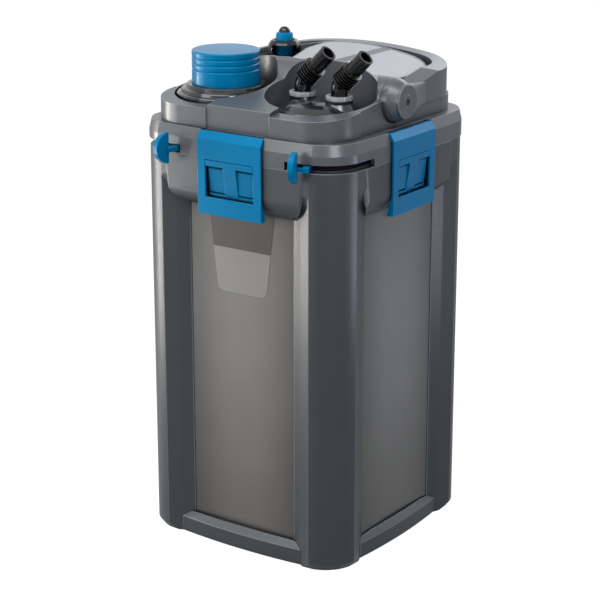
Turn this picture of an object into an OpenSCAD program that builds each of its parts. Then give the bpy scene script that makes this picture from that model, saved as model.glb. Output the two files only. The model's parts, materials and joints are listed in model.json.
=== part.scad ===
// External canister filter: a tank in a four-post frame under a latched pump head.
// Origin: centre of the base. +X runs right along the front face, the front looks to -Y, +Z is up.

/* [Canister] */
// Width of the canister across its bowed side faces
body_w = 278; // [262:1:300]
// Depth of the canister across its bowed front and back faces
body_d = 286; // [270:1:310]
// Height of the split line between canister and head
seam_z = 452; // [430:1:500]
// How far the side faces bow outward
side_bow = 3; // [2:0.5:4]
// How far the front and back faces bow outward
front_bow = 4; // [3:0.5:5]
// Radius of the round corners
corner_r = 46; // [44:1:48]
// Distance from a body face to a corner's edge
corner_edge = 41; // [39:1:43]
// Wall thickness of the tank
tank_wall = 4; // [3:0.5:5]
// Depth of the tank's faces behind the widest point of the body
panel_depth = 18; // [16.5:0.5:20]
// Corner radius of the tank
tank_r = 22; // [16:1:28]
// Height of the collar's belly below the seam
belly_h = 59; // [54:1:66]
// Half width of the collar's belly on each face
belly_half = 89.6; // [86:0.2:92]
// Edge radius under the belly
belly_r = 24; // [18:1:28]
// Half width of the open face between two posts, at the posts' outer edges
post_gap = 83; // [78:1:86]
// Height of the base rails
rail_h = 26; // [22:1:32]
// How far the base rails bow outward
rail_bow = 4.6; // [3:0.2:6]
// Distance of a rail's middle behind the body's face
rail_in = 6.5; // [6:0.5:8]
// Bevel along the top of a rail
rail_bevel = 6.5; // [4:0.5:7.5]
// Height of the rubber feet under the frame
foot_h = 1.5; // [1:0.5:3]

/* [Head] */
// Height of the head's vertical skirt
skirt_h = 18; // [16:1:20]
// Height of the sloping band above the skirt
band_h = 12; // [10:1:14]
// How far the sloping band leans in
band_in = 3; // [2:0.5:4]
// Wall thickness of the skirt
skirt_wall = 6; // [4:0.5:7]
// Height of the lever slots above the seam
slot_h = 9; // [8:0.5:10]
// Height of the front edge of the deck above the ledge
deck_front = 26; // [24:1:30]
// Slope of the middle deck, in degrees
deck_slope = 10.8; // [9:0.2:12]
// Slope of the well rims, in degrees
rim_slope = 5.8; // [4.6:0.2:7]
// How far the well rims lie below the deck at the front
rim_drop = 4; // [3:0.5:5]
// Height of the head's crown above the ledge
crown_h = 63; // [60:1:68]
// Radius of the crown across the head
crown_r = 330; // [300:10:400]
// Radius of the opening round the prefilter lid
pre_well_r = 57; // [56:0.5:57.5]
// Radius of the opening round the hose connector
con_well_r = 61; // [58:0.5:61.5]

/* [Latches] */
// Width of a latch
latch_w = 84; // [78:1:90]
// Length of a latch below its pivot
latch_drop = 86.5; // [84:0.5:90]
// Radius of the latch hinge pins
latch_pin_r = 1.5; // [1.3:0.1:1.7]
// Radius of a latch knuckle
knuckle_r = 3.8; // [3.4:0.1:4]
// Width of the window in a latch
window_w = 64; // [58:1:66]
// Thickness of the latch plate
latch_t = 2.7; // [2.5:0.1:3]

/* [Handle] */
// Outer half width of the carry handle
handle_half = 125.5; // [124:0.5:127]
// Thickness of the handle's arms and bar, seen from above
handle_t = 17; // [15:0.5:17.5]
// Height of the handle's pivot above the ledge
pivot_up = 29; // [28:0.5:31]
// Radius of the pivot disk
pivot_disk_r = 18; // [17:0.5:18.5]
// Radius of the pivot pin
pivot_pin_r = 5; // [4:0.5:6]

/* [Hose connector] */
// Distance between the two nozzle axes
nozzle_pitch = 47.4; // [45:0.2:49]
// Outside radius of a hose nozzle
nozzle_r = 9.2; // [8.6:0.1:9.4]
// Radius of the passage through a nozzle
nozzle_bore_r = 6.8; // [6:0.1:7.4]
// Length of the slanting branch of a nozzle
branch_len = 47; // [44:0.5:52]
// Angle between the branch and the vertical
branch_tilt = 45; // [40:1:50]
// Number of flexible ribs on a nozzle
rib_count = 6; // [4:1:6]
// Radius of the connector's round flange
con_disk_r = 47; // [45.5:0.5:48.5]

/* [Levers] */
// Height of a lock lever's grip
fin_h = 33.5; // [28:0.5:38]
// Depth of a lock lever's grip, out from the body
fin_d = 17; // [14:0.5:17]

/* [Prefilter] */
// Radius of the primer cap
cap_r = 37.6; // [34:0.2:39]
// Height of the primer cap
cap_h = 36.8; // [34:0.2:42]
// Radius of the prefilter lid
lid_r = 54.5; // [53.5:0.5:55]
// Length of the prefilter cage
cage_len = 160; // [130:5:165]
// Travel of the primer cap
primer_travel = 16; // [10:0.5:17]

/* [Heater] */
// Radius of the heater's rod
heater_r = 13; // [11:0.5:14]
// Radius of the heater's shroud
shroud_r = 18.8; // [17:0.2:20]

/* [Pump] */
// Number of impeller vanes
vane_count = 6; // [4:1:8]
// Radius of the impeller
impeller_r = 24; // [20:0.5:26]

/* [Hidden] */
$fn = 64;
fine = 360;              // facets of the very large body arcs
gap = 0.4;               // clearance between pieces that do not touch
fit = 0.05;              // radial clearance of a pin in its bore
eps = 0.01;

hx = body_w / 2;
hy = body_d / 2;
kx = hx - corner_edge;   // where a front face ends and its corner starts
ky = hy - corner_edge;
cx = hx - corner_r - 2;  // centre of a corner arc
cy = hy - corner_r - 3;
side_r = bow_radius(ky, side_bow);
front_r = bow_radius(kx, front_bow);
tank_hx = hx - panel_depth + 1.5;
tank_hy = hy - panel_depth - 1.5;
tank_z = foot_h + 7.5;
rim_z = seam_z - 5;      // top of the tank's own rim
belly_z = seam_z - belly_h;

ledge_z = seam_z + skirt_h + band_h;
block_hx = hx - 16.5;    // half width of the head's upper block
block_hy = hy - 10.2;
block_r = 44.5;
bulge = 1.8;             // how far the well bulges stand out of the block
rim_left = -37;          // where the deck drops to the left rim
rim_right = 44.7;        // where the deck drops to the right rim
crown_z = ledge_z + crown_h;
shelf_z = ledge_z + 17.5;
rear_hx = handle_half - handle_t - 2.5;
rear_y = hy - 37;
rear_r = 36;

pre = [-hx * 0.457, -(hy - 78)];
con = [hx * 0.41, -(hy - 87)];
heat = [-(hx - 71), hy - 91];
pump = [20, hy - 88];

latch_in = 5.5;                        // latch pivot behind the body face
latch_z = ledge_z - 4.5;
plate_out = 3.4;                       // outer face of the latch plate in front of the body face
window_top = latch_z - 26;
window_bot = latch_z - 67.5;
link_z = seam_z - 3.5;                 // link pivot
link_out = 0.2;                        // link pivot in front of the body face
catch_z = window_bot + 4;
pocket_w = window_w + 12;
pocket_in = 10;

pivot_y = -11;
pivot_z = ledge_z + pivot_up;
hub_x = handle_half - 7.9;             // outer end of the fixed hub
hub_r = 24.2;
pin_x = hub_x - 12.6;                  // inner end of a pivot pin
disk_x = handle_half + 13.5;           // outer face of the pivot disk
handle_y = hy - 14;
handle_r = 52;
grip_crown_r = 600;                    // arch of the handle's bar

floor_t = 2;                           // head floor, which lies on the collar
lever_z = seam_z + floor_t + 0.3;
lever_t = 5.5;
plate_z = ledge_z - 10;                // underside of the head base's top plate
tube_r = 50;                           // outside of the prefilter tube
tube_wall = 2.5;
cage_r = 46;
socket_r = 45;                         // outside of the connector socket
lid_z = ledge_z + 36.7;                // top of the prefilter lid, under the primer cap
lid_floor = lid_z - 3 - primer_travel - 0.6;
tube_top = lid_floor - 3;
tube_bottom = lid_z - cage_len - 28;
con_z = ledge_z + 15;                  // underside of the connector flange
ring_top = con_z + 21.6;               // top of the union rings
bend_z = ring_top + 10.9;
pocket_floor = ledge_z + 30;           // floor of the heater's pocket
shroud_z = ledge_z + 67;               // top of the heater shroud
duct_z = seam_z - 14;
duct_r = 8;
pump_top = seam_z - 1;
pump_bottom = seam_z - 29;

dark = "#55585b";
post_grey = "#44494d";
blue = "#0b76ae";
smoke = "#6e6b68";

function bow_radius(half, bow) = (half * half + bow * bow) / (2 * bow);
function arc(r, a0, a1, n) = [for (i = [0:n]) r * [cos(a0 + (a1 - a0) * i / n), sin(a0 + (a1 - a0) * i / n)]];
function deck_z(y) = ledge_z + deck_front + (y + block_hy) * tan(deck_slope);
function belly_half_at(half) = belly_half + (half - hy) * 0.5;

// ---------- shared shapes ----------

// Body outline with bowed faces and round corners that meet them at a crisp edge.
// The outline shrinks from in0 at the bottom to in1 at the top.
module body_block(h, in0 = 0, in1 = 0) {
    intersection() {
        bow_cone(0, front_r - hy, front_r, h, in0, in1);
        bow_cone(0, hy - front_r, front_r, h, in0, in1);
        bow_cone(side_r - hx, 0, side_r, h, in0, in1);
        bow_cone(hx - side_r, 0, side_r, h, in0, in1);
        union() {
            translate([-kx, -hy, 0]) cube([2 * kx, 2 * hy, h]);
            translate([-hx, -ky, 0]) cube([2 * hx, 2 * ky, h]);
            for (sx = [-1, 1], sy = [-1, 1]) translate([sx * cx, sy * cy, 0])
                cylinder(h = h, r1 = corner_r - in0, r2 = corner_r - in1, $fn = 120);
        }
    }
}

module bow_cone(x, y, r, h, in0, in1) {
    translate([x, y, 0]) cylinder(h = h, r1 = r - in0, r2 = r - in1, $fn = fine);
}

// Slab with straight sides and round corners, centred on the axis.
module slab(half_x, half_y, r, h) {
    translate([r - half_x, -half_y, 0]) cube([2 * (half_x - r), 2 * half_y, h]);
    translate([-half_x, r - half_y, 0]) cube([2 * half_x, 2 * (half_y - r), h]);
    for (sx = [-1, 1], sy = [-1, 1]) translate([sx * (half_x - r), sy * (half_y - r), 0])
        cylinder(h = h, r = r);
}

// Space taken by the tank, grown by g.
module tank_block(z0, z1, g = 0) {
    translate([0, 0, z0]) slab(tank_hx + g, tank_hy + g, tank_r + g, z1 - z0);
}

module ring(r_out, r_in, h) {
    difference() {
        cylinder(h = h, r = r_out);
        translate([0, 0, -1]) cylinder(h = h + 2, r = r_in);
    }
}

// Places children made for the front face on face number i: front, right, back, left.
module on_face(i) {
    rotate([0, 0, 90 * i]) children();
}

function face_half(i) = i % 2 == 0 ? hy : hx;
function face_r(i) = i % 2 == 0 ? front_r : side_r;
function face_edge(i) = i % 2 == 0 ? kx : ky;
function tank_half(i) = i % 2 == 0 ? tank_hy : tank_hx;
function flank_depth(i) = i % 2 == 0 ? 11.4 : 9.4;

// ---------- canister ----------

module tank() {
    color(smoke, 0.8) difference() {
        tank_block(tank_z, rim_z);
        translate([0, 0, tank_z + tank_wall])
            slab(tank_hx - tank_wall, tank_hy - tank_wall, tank_r - tank_wall, rim_z);
    }
}

// Plan of the front right post: a corner arc, two flanks and two walls that return to the tank.
module post_plan() {
    r = corner_r - 1;
    back = post_gap - 14;
    k1 = cy + sqrt(r * r - (kx - cx) * (kx - cx));
    k2 = cx + sqrt(r * r - (ky - cy) * (ky - cy));
    intersection() {
        translate([cx, -cy]) circle(r = r, $fn = 120);
        translate([kx, -hy - 5]) square([hx - kx + 5, hy - ky + 5]);
    }
    polygon([[back, -tank_hy - gap], [post_gap, flank_depth(0) - hy], [kx, -k1], [kx + 1, -ky - 1], [k2, -ky],
        [hx - flank_depth(1), -post_gap], [tank_hx + gap, -back], [tank_hx - 12, -back], [back, 12 - tank_hy]]);
}

module post(sx, sy) {
    mirror([sx < 0 ? 1 : 0, 0, 0]) mirror([0, sy > 0 ? 1 : 0, 0])
        translate([0, 0, foot_h]) linear_extrude(seam_z - foot_h) post_plan();
}

// Outline of one belly, seen square to its face, with round lower corners.
module belly_front(half_w) {
    r = 27;
    w = half_w;
    translate([-w, belly_z + r]) square([2 * w, 8]);
    translate([r - w, belly_z]) square([2 * (w - r), belly_h]);
    for (s = [-1, 1]) translate([s * (w - r), belly_z + r]) circle(r = r);
    for (s = [-1, 1]) mirror([s < 0 ? 1 : 0, 0])
        polygon([[0, belly_z + r], [w, belly_z + r], [w + 2, seam_z], [0, seam_z]]);
}

// Belly of one face: a bowed pillow whose lower edge and ends roll in to the tank and the posts.
module belly(i) {
    r = face_r(i);
    half = face_half(i);
    w = belly_half - (hy - half) / 2;
    deep = 26;
    end_x = w - 15;
    lean = 6;
    on_face(i) intersection() {
        translate([0, r - half, 0]) rotate_extrude($fn = fine) {
            translate([r - deep, belly_z + belly_r]) square([deep, belly_h - belly_r]);
            translate([r - deep, belly_z]) square([deep - belly_r, belly_h]);
            translate([r - belly_r, belly_z + belly_r]) circle(r = belly_r);
        }
        rotate([90, 0, 0]) linear_extrude(half + 1) belly_front(w);
        union() {
            rotate([90, 0, 0]) linear_extrude(half + 1) polygon([[-end_x, belly_z - 1], [end_x, belly_z - 1],
                [end_x + lean, seam_z + 1], [-end_x - lean, seam_z + 1]]);
            for (s = [-1, 1]) translate([s * end_x, belly_r - half + 1.4, belly_z - 10])
                rotate([0, s * atan(lean / belly_h), 0]) cylinder(h = belly_h + 20, r = belly_r, $fn = 96);
        }
    }
}

// Cheek that carries a belly's surface on to the post's edge under the seam and runs out downward.
module cheek(i, s) {
    half = face_half(i);
    edge = face_edge(i);
    on_face(i) mirror([s < 0 ? 1 : 0, 0, 0]) intersection() {
        translate([0, face_r(i) - half, belly_z]) cylinder(h = belly_h, r = face_r(i) - 0.5, $fn = fine);
        translate([70, -half, belly_z + 10]) cube([edge - 70, 13, belly_h - 10]);
        translate([60, 3 - half, seam_z - 22]) rotate([17, 0, 0]) translate([0, 0, -40]) cube([60, 60, 90]);
    }
}

// Pocket behind a latch, with the bar that its hook grips.
module catch_pocket(i) {
    half = face_half(i);
    on_face(i) difference() {
        translate([-pocket_w / 2, -half - 1, belly_z - 1])
            cube([pocket_w, pocket_in + 1, belly_h + 2]);
        translate([-pocket_w / 2 - 1, 5.4 - half, catch_z])
            cube([pocket_w + 2, pocket_in, 5]);
    }
}

module outer_frame() {
    color(post_grey) difference() {
        union() {
            intersection() {
                for (sx = [-1, 1], sy = [-1, 1]) post(sx, sy);
                union() {
                    translate([0, 0, foot_h]) body_block(8, 6, 0);
                    translate([0, 0, foot_h + 8]) body_block(seam_z - foot_h - 8);
                }
            }
            for (i = [0:3]) belly(i);
            for (i = [0:3], s = [-1, 1]) cheek(i, s);
        }
        tank_block(-1, seam_z + 1, gap);
        for (i = [0:3]) catch_pocket(i);
    }
}

// Base rail between two posts: bowed more than the face above it, with a broad bevel along its top.
module rail(i) {
    half = face_half(i);
    r = bow_radius(post_gap, rail_bow);
    w0 = post_gap - 14.5;
    w1 = post_gap - 0.5;
    on_face(i) intersection() {
        translate([0, rail_in + r - half, 0]) {
            translate([0, 0, foot_h]) cylinder(h = 1, r1 = r - 0.8, r2 = r, $fn = fine);
            translate([0, 0, foot_h + 1]) cylinder(h = rail_h - rail_bevel - foot_h - 1, r = r, $fn = fine);
            translate([0, 0, rail_h - rail_bevel]) cylinder(h = rail_bevel, r1 = r, r2 = r - rail_bevel, $fn = fine);
        }
        linear_extrude(rail_h + 5) polygon([[-w0, 5 - tank_half(i)], [w0, 5 - tank_half(i)], [w0, -tank_half(i) - gap],
            [w1, flank_depth(i) - half], [w1, -half], [-w1, -half], [-w1, flank_depth(i) - half],
            [-w0, -tank_half(i) - gap]]);
    }
}

// Plate under the tank with an upstanding rail on each side and a groove between rail and tank.
module base_tray() {
    color(dark) {
        tank_block(foot_h, tank_z);
        difference() {
            for (i = [0:3]) rail(i);
            tank_block(tank_z, rail_h + 5, gap);
            translate([0, 0, rail_h - 11]) slab(tank_hx + 1.6, tank_hy + 3.4, tank_r + 2, 20);
        }
    }
}

// A pad under each post and one under the middle of the tray.
module foot_pads() {
    color("#1c1c1c") {
        cylinder(h = foot_h, r = 12);
        for (sx = [-1, 1], sy = [-1, 1]) translate([sx * (cx + 14), sy * (cy + 14), 0]) cylinder(h = foot_h, r = 12);
    }
}

// ---------- filter media ----------

basket_gap = 2.5;
basket_t = 2;
basket_x = tank_hx - tank_wall - basket_gap;
basket_y = tank_hy - tank_wall - basket_gap;
basket_r = tank_r - tank_wall - basket_gap;
basket_z0 = tank_z + tank_wall + gap;
basket_h = (tube_bottom - 3 - basket_z0) / 3;
upper_h = pump_bottom - 12 - tube_bottom;

// Column left free in every basket for the heater's rod.
module heater_column(z0, z1, g) {
    translate([heat[0], heat[1], z0]) cylinder(h = z1 - z0, r = heater_r + g);
}

// Open tray with a wall round the heater's column and a slotted floor.
module basket(z0, h) {
    difference() {
        translate([0, 0, z0]) slab(basket_x, basket_y, basket_r, h - gap);
        difference() {
            translate([0, 0, z0 + basket_t])
                slab(basket_x - basket_t, basket_y - basket_t, basket_r - basket_t, h);
            heater_column(z0, z0 + h + 5, 5);
        }
        heater_column(z0 - 1, z0 + h + 5, 3);
        for (k = [-4:4]) translate([k * 20 - 3, -70, z0 - 1]) cube([6, 80, basket_t + 2]);
    }
}

module basket_1() { color("#3d4144") basket(basket_z0, basket_h); }
module basket_2() { color("#3d4144") basket(basket_z0 + basket_h, basket_h); }
module basket_3() { color("#3d4144") basket(basket_z0 + 2 * basket_h, basket_h); }

// The upper tray leaves a corner free for the prefilter.
module basket_4() {
    color("#3d4144") difference() {
        basket(tube_bottom - 3 + gap, upper_h);
        translate([pre[0], pre[1], tube_bottom - 4]) cylinder(h = upper_h + 9, r = tube_r + 6);
        translate([-tank_hx, -tank_hy, tube_bottom - 4])
            cube([tank_hx + pre[0] + tube_r + 6, tank_hy + pre[1], upper_h + 9]);
        translate([-tank_hx, -tank_hy, tube_bottom - 4])
            cube([tank_hx + pre[0], tank_hy + pre[1] + tube_r + 6, upper_h + 9]);
        translate([con[0], con[1], duct_z - duct_r - 8])
            cylinder(h = 60, r = socket_r + 4);
    }
}

// Block of filter medium lying in a tray.
module medium(z0, h, fill) {
    difference() {
        translate([0, 0, z0 + basket_t + gap]) slab(basket_x - basket_t - 2, basket_y - basket_t - 2,
            basket_r - basket_t, (h - basket_t) * fill);
        heater_column(z0 - 1, z0 + h + 5, 7);
    }
}

module foam_coarse() { color("#2f7fc0") medium(basket_z0 + 2 * basket_h, basket_h, 0.8); }
module foam_fine() { color("#e08a2c") medium(basket_z0 + basket_h, basket_h, 0.8); }
module bio_media() { color("#d9d3c6") medium(basket_z0, basket_h, 0.7); }

// ---------- head ----------

module head_seal() {
    color("#202224") difference() {
        tank_block(rim_z, seam_z, -0.3);
        translate([0, 0, rim_z - 1])
            slab(tank_hx - tank_wall + 0.3, tank_hy - tank_wall + 0.3, tank_r - tank_wall, 8);
    }
}

// Holes that pass through every plate of the head.
module head_holes(z0, z1, g) {
    translate([pre[0], pre[1], z0]) cylinder(h = z1 - z0, r = tube_r + g);
    translate([con[0], con[1], z0]) cylinder(h = z1 - z0, r = socket_r + g);
    translate([pump[0], pump[1], z0]) cylinder(h = z1 - z0, r = 14 + g);
    heater_column(z0, z1, g);
}

module head_floor() {
    lip_x = tank_hx - tank_wall - 0.6;
    lip_y = tank_hy - tank_wall - 0.6;
    lip_r = tank_r - tank_wall - 0.6;
    color("#3a3d40") difference() {
        union() {
            translate([0, 0, seam_z]) body_block(floor_t, skirt_wall + gap, skirt_wall + gap);
            difference() {
                translate([0, 0, seam_z - 12]) slab(lip_x, lip_y, lip_r, 12 + eps);
                translate([0, 0, seam_z - 13]) slab(lip_x - 3, lip_y - 3, lip_r - 3, 13);
            }
        }
        head_holes(seam_z - 20, seam_z + 20, gap);
    }
}

// Notch in the ledge that takes a latch's knuckle and plate.
module latch_notch(i) {
    half = face_half(i);
    on_face(i) translate([-latch_w / 2 - gap, -half - 5, latch_z - knuckle_r - 0.9])
        cube([latch_w + 2 * gap, 5 + latch_in + knuckle_r + gap, 30]);
}

module latch_bore(i, r, l) {
    on_face(i) translate([-l / 2, latch_in - face_half(i), latch_z]) rotate([0, 90, 0]) cylinder(h = l, r = r, $fn = 32);
}

// Slot round one front corner in which a lock lever travels.
module lever_slot(s) {
    mirror([s < 0 ? 1 : 0, 0, 0]) translate([hx - 70, -hy - 1, seam_z - 1])
        cube([75, 72, slot_h + 1]);
}

module head_base() {
    color(dark) difference() {
        union() {
            translate([0, 0, seam_z + 0.3]) body_block(skirt_h - 0.3);
            translate([0, 0, seam_z + skirt_h]) body_block(band_h, 0, band_in);
        }
        translate([0, 0, seam_z - 1]) body_block(plate_z - seam_z + 1, skirt_wall, skirt_wall);
        head_holes(seam_z, ledge_z + 5, 0.6);
        for (s = [-1, 1]) lever_slot(s);
        for (i = [0:3]) latch_notch(i);
        for (i = [0:3]) latch_bore(i, latch_pin_r + fit, latch_w + 12);
    }
}

// Straight-sided upper block, grown by g, with round corners.
module upper_slab(g, h) {
    slab(block_hx + g, block_hy + g, block_r + g, h);
}

// Everything above a plane that rises to the rear from height z at the block's front.
module above_slope(z, a) {
    translate([0, -block_hy, z]) rotate([a, 0, 0]) translate([-200, -60, 0]) cube([400, 420, 200]);
}

module front_block() {
    h = 70;
    difference() {
        intersection() {
            translate([0, 0, ledge_z]) upper_slab(0, h);
            translate([rim_left, -hy, ledge_z]) cube([rim_right - rim_left, hy + 10, h]);
        }
        above_slope(ledge_z + deck_front, deck_slope);
    }
    difference() {
        intersection() {
            translate([0, 0, ledge_z]) upper_slab(bulge, h);
            union() {
                translate([rim_right, -hy, ledge_z]) cube([hx, hy - 80, h]);
                translate([-hx, -hy, ledge_z]) cube([hx + rim_left, hy - 80, h]);
            }
        }
        above_slope(ledge_z + deck_front - rim_drop, rim_slope);
        translate([rim_left, -block_hy - bulge, ledge_z - 1]) cylinder(h = h, r = 1.9, $fn = 32);
    }
    difference() {
        intersection() {
            translate([0, 0, ledge_z]) upper_slab(-0.6, h);
            translate([-hx, -100, ledge_z]) cube([body_w, 100, h]);
        }
        above_slope(ledge_z + deck_front - rim_drop, rim_slope);
    }
}

// Side view of the rear block: a steep rounded front face and a long top under the crown.
module rear_side_view() {
    polygon([[-47, ledge_z], [-47, deck_z(-46) - 8], [-44.5, deck_z(-46) - 3], [-40, crown_z - 18],
        [-35, crown_z - 11.5], [-30, crown_z - 6.8], [-24, crown_z - 3.2], [-17, crown_z - 0.9],
        [-10, crown_z + 1], [rear_y, crown_z + 1], [rear_y, ledge_z]]);
}

module crown(drop = 0) {
    translate([0, hy, crown_z - crown_r - drop]) rotate([90, 0, 0])
        cylinder(h = body_d, r = crown_r, $fn = fine);
}

module rear_block() {
    difference() {
        intersection() {
            translate([-rear_hx, 0, 0]) rotate([90, 0, 90]) linear_extrude(2 * rear_hx) rear_side_view();
            translate([0, (rear_y - 120) / 2, ledge_z])
                slab(rear_hx, (rear_y + 120) / 2, rear_r, crown_h + 10);
            crown();
        }
        for (s = [-1, 1]) translate([s * (rear_hx + 4), -40, shelf_z]) cube([26, 52, 120], center = true);
    }
}

// Line that divides the heater's pocket from the pump's cover.
divide = [[-9, -15], [-22, 19], [-36, 50], [-41, 75], [-44, rear_y - 7]];

// Plan of the pocket behind the prefilter in which the heater stands.
module pocket_plan() {
    difference() {
        polygon(concat(divide, [[-74, rear_y - 7], [7.5 - rear_hx, rear_y - 30], [7.5 - rear_hx, -6],
            [-75, -13], [-40, -20]]));
        translate(pre) circle(r = pre_well_r + 3.5, $fn = 96);
        translate([-60, -40]) square([60, 25]);
    }
}

// Plan of the pump's cover between two lines across the crown, shrunk by e at its front and rear.
cover_t = 3;
strip_x = [33, 45];
module cover_plan(x0, x1, e = 0) {
    side = rear_hx - 2.6;
    difference() {
        intersection() {
            translate([x0, -24]) square([x1 - x0, 200]);
            polygon([[divide[0][0] + 1.2, divide[0][1] - 1], [12, -19], [side - 24, -19], [side - 12, 8 + e],
                [side, 24 + e], [side, rear_y - rear_r + 4], [side - 4, rear_y - 18], [side - 13, rear_y - 8],
                [side - 28, rear_y - 4 - e], [divide[4][0] + 1.2, rear_y - 4 - e], [divide[3][0] + 1.2, divide[3][1]],
                [divide[2][0] + 1.2, divide[2][1]], [divide[1][0] + 1.2, divide[1][1]]]);
        }
        translate(con) circle(r = con_well_r + 3 + e, $fn = 96);
        translate(pre) circle(r = pre_well_r + 4 + e, $fn = 96);
    }
}

// Boss that carries the handle's pivot.
module hub(s) {
    l = hub_x - rear_hx + 3;
    mirror([s < 0 ? 1 : 0, 0, 0]) translate([rear_hx - 3, pivot_y, pivot_z]) rotate([0, 90, 0])
        rotate_extrude($fn = 96) polygon([[0, 0], [hub_r, 0], [hub_r, l - 2], [hub_r - 0.8, l - 1.2],
            [hub_r - 0.8, l], [0, l]]);
}

module cover_body() {
    difference() {
        union() {
            front_block();
            rear_block();
            intersection() {
                translate([0, 0, ledge_z]) upper_slab(0, shelf_z - ledge_z);
                translate([-hx, -10, ledge_z]) cube([body_w, body_d, 50]);
            }
        }
        for (s = [-1, 1]) pivot_cyl(s, hub_x, 40, hub_r + 1);
        for (s = [-1, 1]) translate([s * (handle_half + 17.1), 24, shelf_z + 12]) cube([40, 72, 40], center = true);
        translate([pre[0], pre[1], ledge_z + 6]) cylinder(h = 80, r = pre_well_r, $fn = 96);
        translate([pre[0], pre[1], ledge_z - 1]) cylinder(h = 80, r = tube_r + 0.6, $fn = 96);
        translate([con[0], con[1], con_z - 4]) cylinder(h = 80, r = con_well_r, $fn = 96);
        translate([con[0], con[1], ledge_z - 1]) cylinder(h = 80, r = socket_r + 0.6, $fn = 96);
        translate([0, 0, pocket_floor]) linear_extrude(60) pocket_plan();
        heater_column(ledge_z - 1, pocket_floor + 1, gap);
        motor_bay();
        intersection() {
            translate([0, 0, ledge_z]) linear_extrude(crown_h + 20) cover_plan(-60, rear_hx, -0.4);
            difference() {
                translate([-hx, -40, ledge_z + 20]) cube([body_w, body_d, 80]);
                crown(cover_t + 0.6);
            }
        }
    }
}

module head_cover() {
    color(dark) difference() {
        union() {
            cover_body();
            for (s = [-1, 1]) difference() {
                hub(s);
                translate([con[0], con[1], con_z]) cylinder(h = 80, r = con_well_r, $fn = 96);
                translate([pre[0], pre[1], ledge_z + 6]) cylinder(h = 80, r = pre_well_r, $fn = 96);
            }
        }
        for (s = [-1, 1]) pivot_cyl(s, pin_x - 0.3, hub_x - pin_x + 1, pivot_pin_r + fit);
    }
}

module motor_bay() {
    translate([pump[0] - 34, pump[1] - 32, ledge_z - 1]) cube([68, 64, 42]);
}

module pump_panel(x0, x1) {
    intersection() {
        translate([0, 0, ledge_z]) linear_extrude(crown_h + 20) cover_plan(x0, x1);
        difference() {
            crown(0.3);
            crown(cover_t + 0.3);
        }
    }
}

module pump_cover_left() { color("#c9ccd0") pump_panel(-60, strip_x[0] - 0.15); }
module pump_cover_strip() { color("#44484c") pump_panel(strip_x[0] + 0.15, strip_x[1] - 0.15); }
module pump_cover_right() { color("#c9ccd0") pump_panel(strip_x[1] + 0.15, rear_hx); }

// ---------- pump ----------

module pump_housing() {
    color("#4a4d50") translate([pump[0], pump[1], 0]) difference() {
        union() {
            translate([0, 0, pump_bottom]) cylinder(h = pump_top - pump_bottom, r = impeller_r + 8);
            translate([0, 0, pump_top - eps]) cylinder(h = ledge_z + 24 - pump_top, r = 13.8);
        }
        translate([0, 0, pump_bottom - 1]) cylinder(h = 20, r = impeller_r + 4);
        translate([0, 0, pump_bottom]) cylinder(h = ledge_z + 20 - pump_bottom, r = 11.5);
        rotate([0, 0, pump_duct_angle()]) translate([0, 0, duct_z]) rotate([0, 90, 0])
            cylinder(h = 60, r = duct_r - 1.5);
    }
}

function pump_duct_angle() = atan2(con[1] - pump[1], con[0] - pump[0]);

module intake_plate() {
    color("#4a4d50") translate([pump[0], pump[1], pump_bottom - 3]) difference() {
        union() {
            cylinder(h = 3, r = impeller_r + 8);
            translate([0, 0, 3]) cylinder(h = 2, r = 5);
        }
        translate([0, 0, 1]) cylinder(h = 6, r = 2 + fit, $fn = 32);
        for (k = [0:5]) rotate([0, 0, 60 * k]) translate([11, 0, -1]) cylinder(h = 6, r = 3.4, $fn = 32);
    }
}

module pump_stator() {
    color("#2a2c2e") translate([pump[0], pump[1], ledge_z + 0.4]) difference() {
        translate([-32, -30, 0]) cube([64, 60, 34]);
        translate([0, 0, -1]) cylinder(h = 26, r = 14.2);
    }
}

rotor_z = pump_bottom + 8;
module impeller() {
    color("#e4e2dc") translate([pump[0], pump[1], rotor_z]) difference() {
        union() {
            cylinder(h = 2, r = impeller_r);
            cylinder(h = 14, r = 7);
            for (k = [0:vane_count - 1]) rotate([0, 0, 360 * k / vane_count]) translate([13, 0, -5.5])
                difference() {
                    cylinder(h = 7, r = 10, $fn = 48);
                    translate([0, 1.6, -1]) cylinder(h = 9, r = 10, $fn = 48);
                    translate([-12, -12, -1]) cube([24, 3, 9]);
                }
        }
        translate([0, 0, -8]) cylinder(h = 40, r = 2 + fit, $fn = 32);
    }
}

module rotor_magnet() {
    color("#3b3b3f") translate([pump[0], pump[1], rotor_z + 14]) difference() {
        cylinder(h = 38, r = 10.5);
        translate([0, 0, -1]) cylinder(h = 42, r = 2 + fit, $fn = 32);
    }
}

module pump_shaft() {
    color("#f2f2ee") translate([pump[0], pump[1], pump_bottom - 1.8])
        cylinder(h = ledge_z + 19 - pump_bottom + 1.6, r = 2, $fn = 32);
}

module shaft_bushes() {
    color("#1d1d1f") translate([pump[0], pump[1], rotor_z + 53]) ring(11.4, 2 + fit, 5);
}

// ---------- hose connector ----------

module outlet_duct() {
    a = pump_duct_angle();
    l = norm(con - pump);
    color("#4a4d50") difference() {
        translate([pump[0], pump[1], duct_z]) rotate([0, 0, a]) rotate([0, 90, 0]) difference() {
            cylinder(h = l, r = duct_r);
            translate([0, 0, -1]) cylinder(h = l + 2, r = duct_r - 1.5);
        }
        translate([pump[0], pump[1], duct_z - 20]) cylinder(h = 40, r = impeller_r + 8 + 0.3);
        translate([con[0], con[1], duct_z - 20]) cylinder(h = 40, r = socket_r + 0.3);
    }
}

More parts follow.
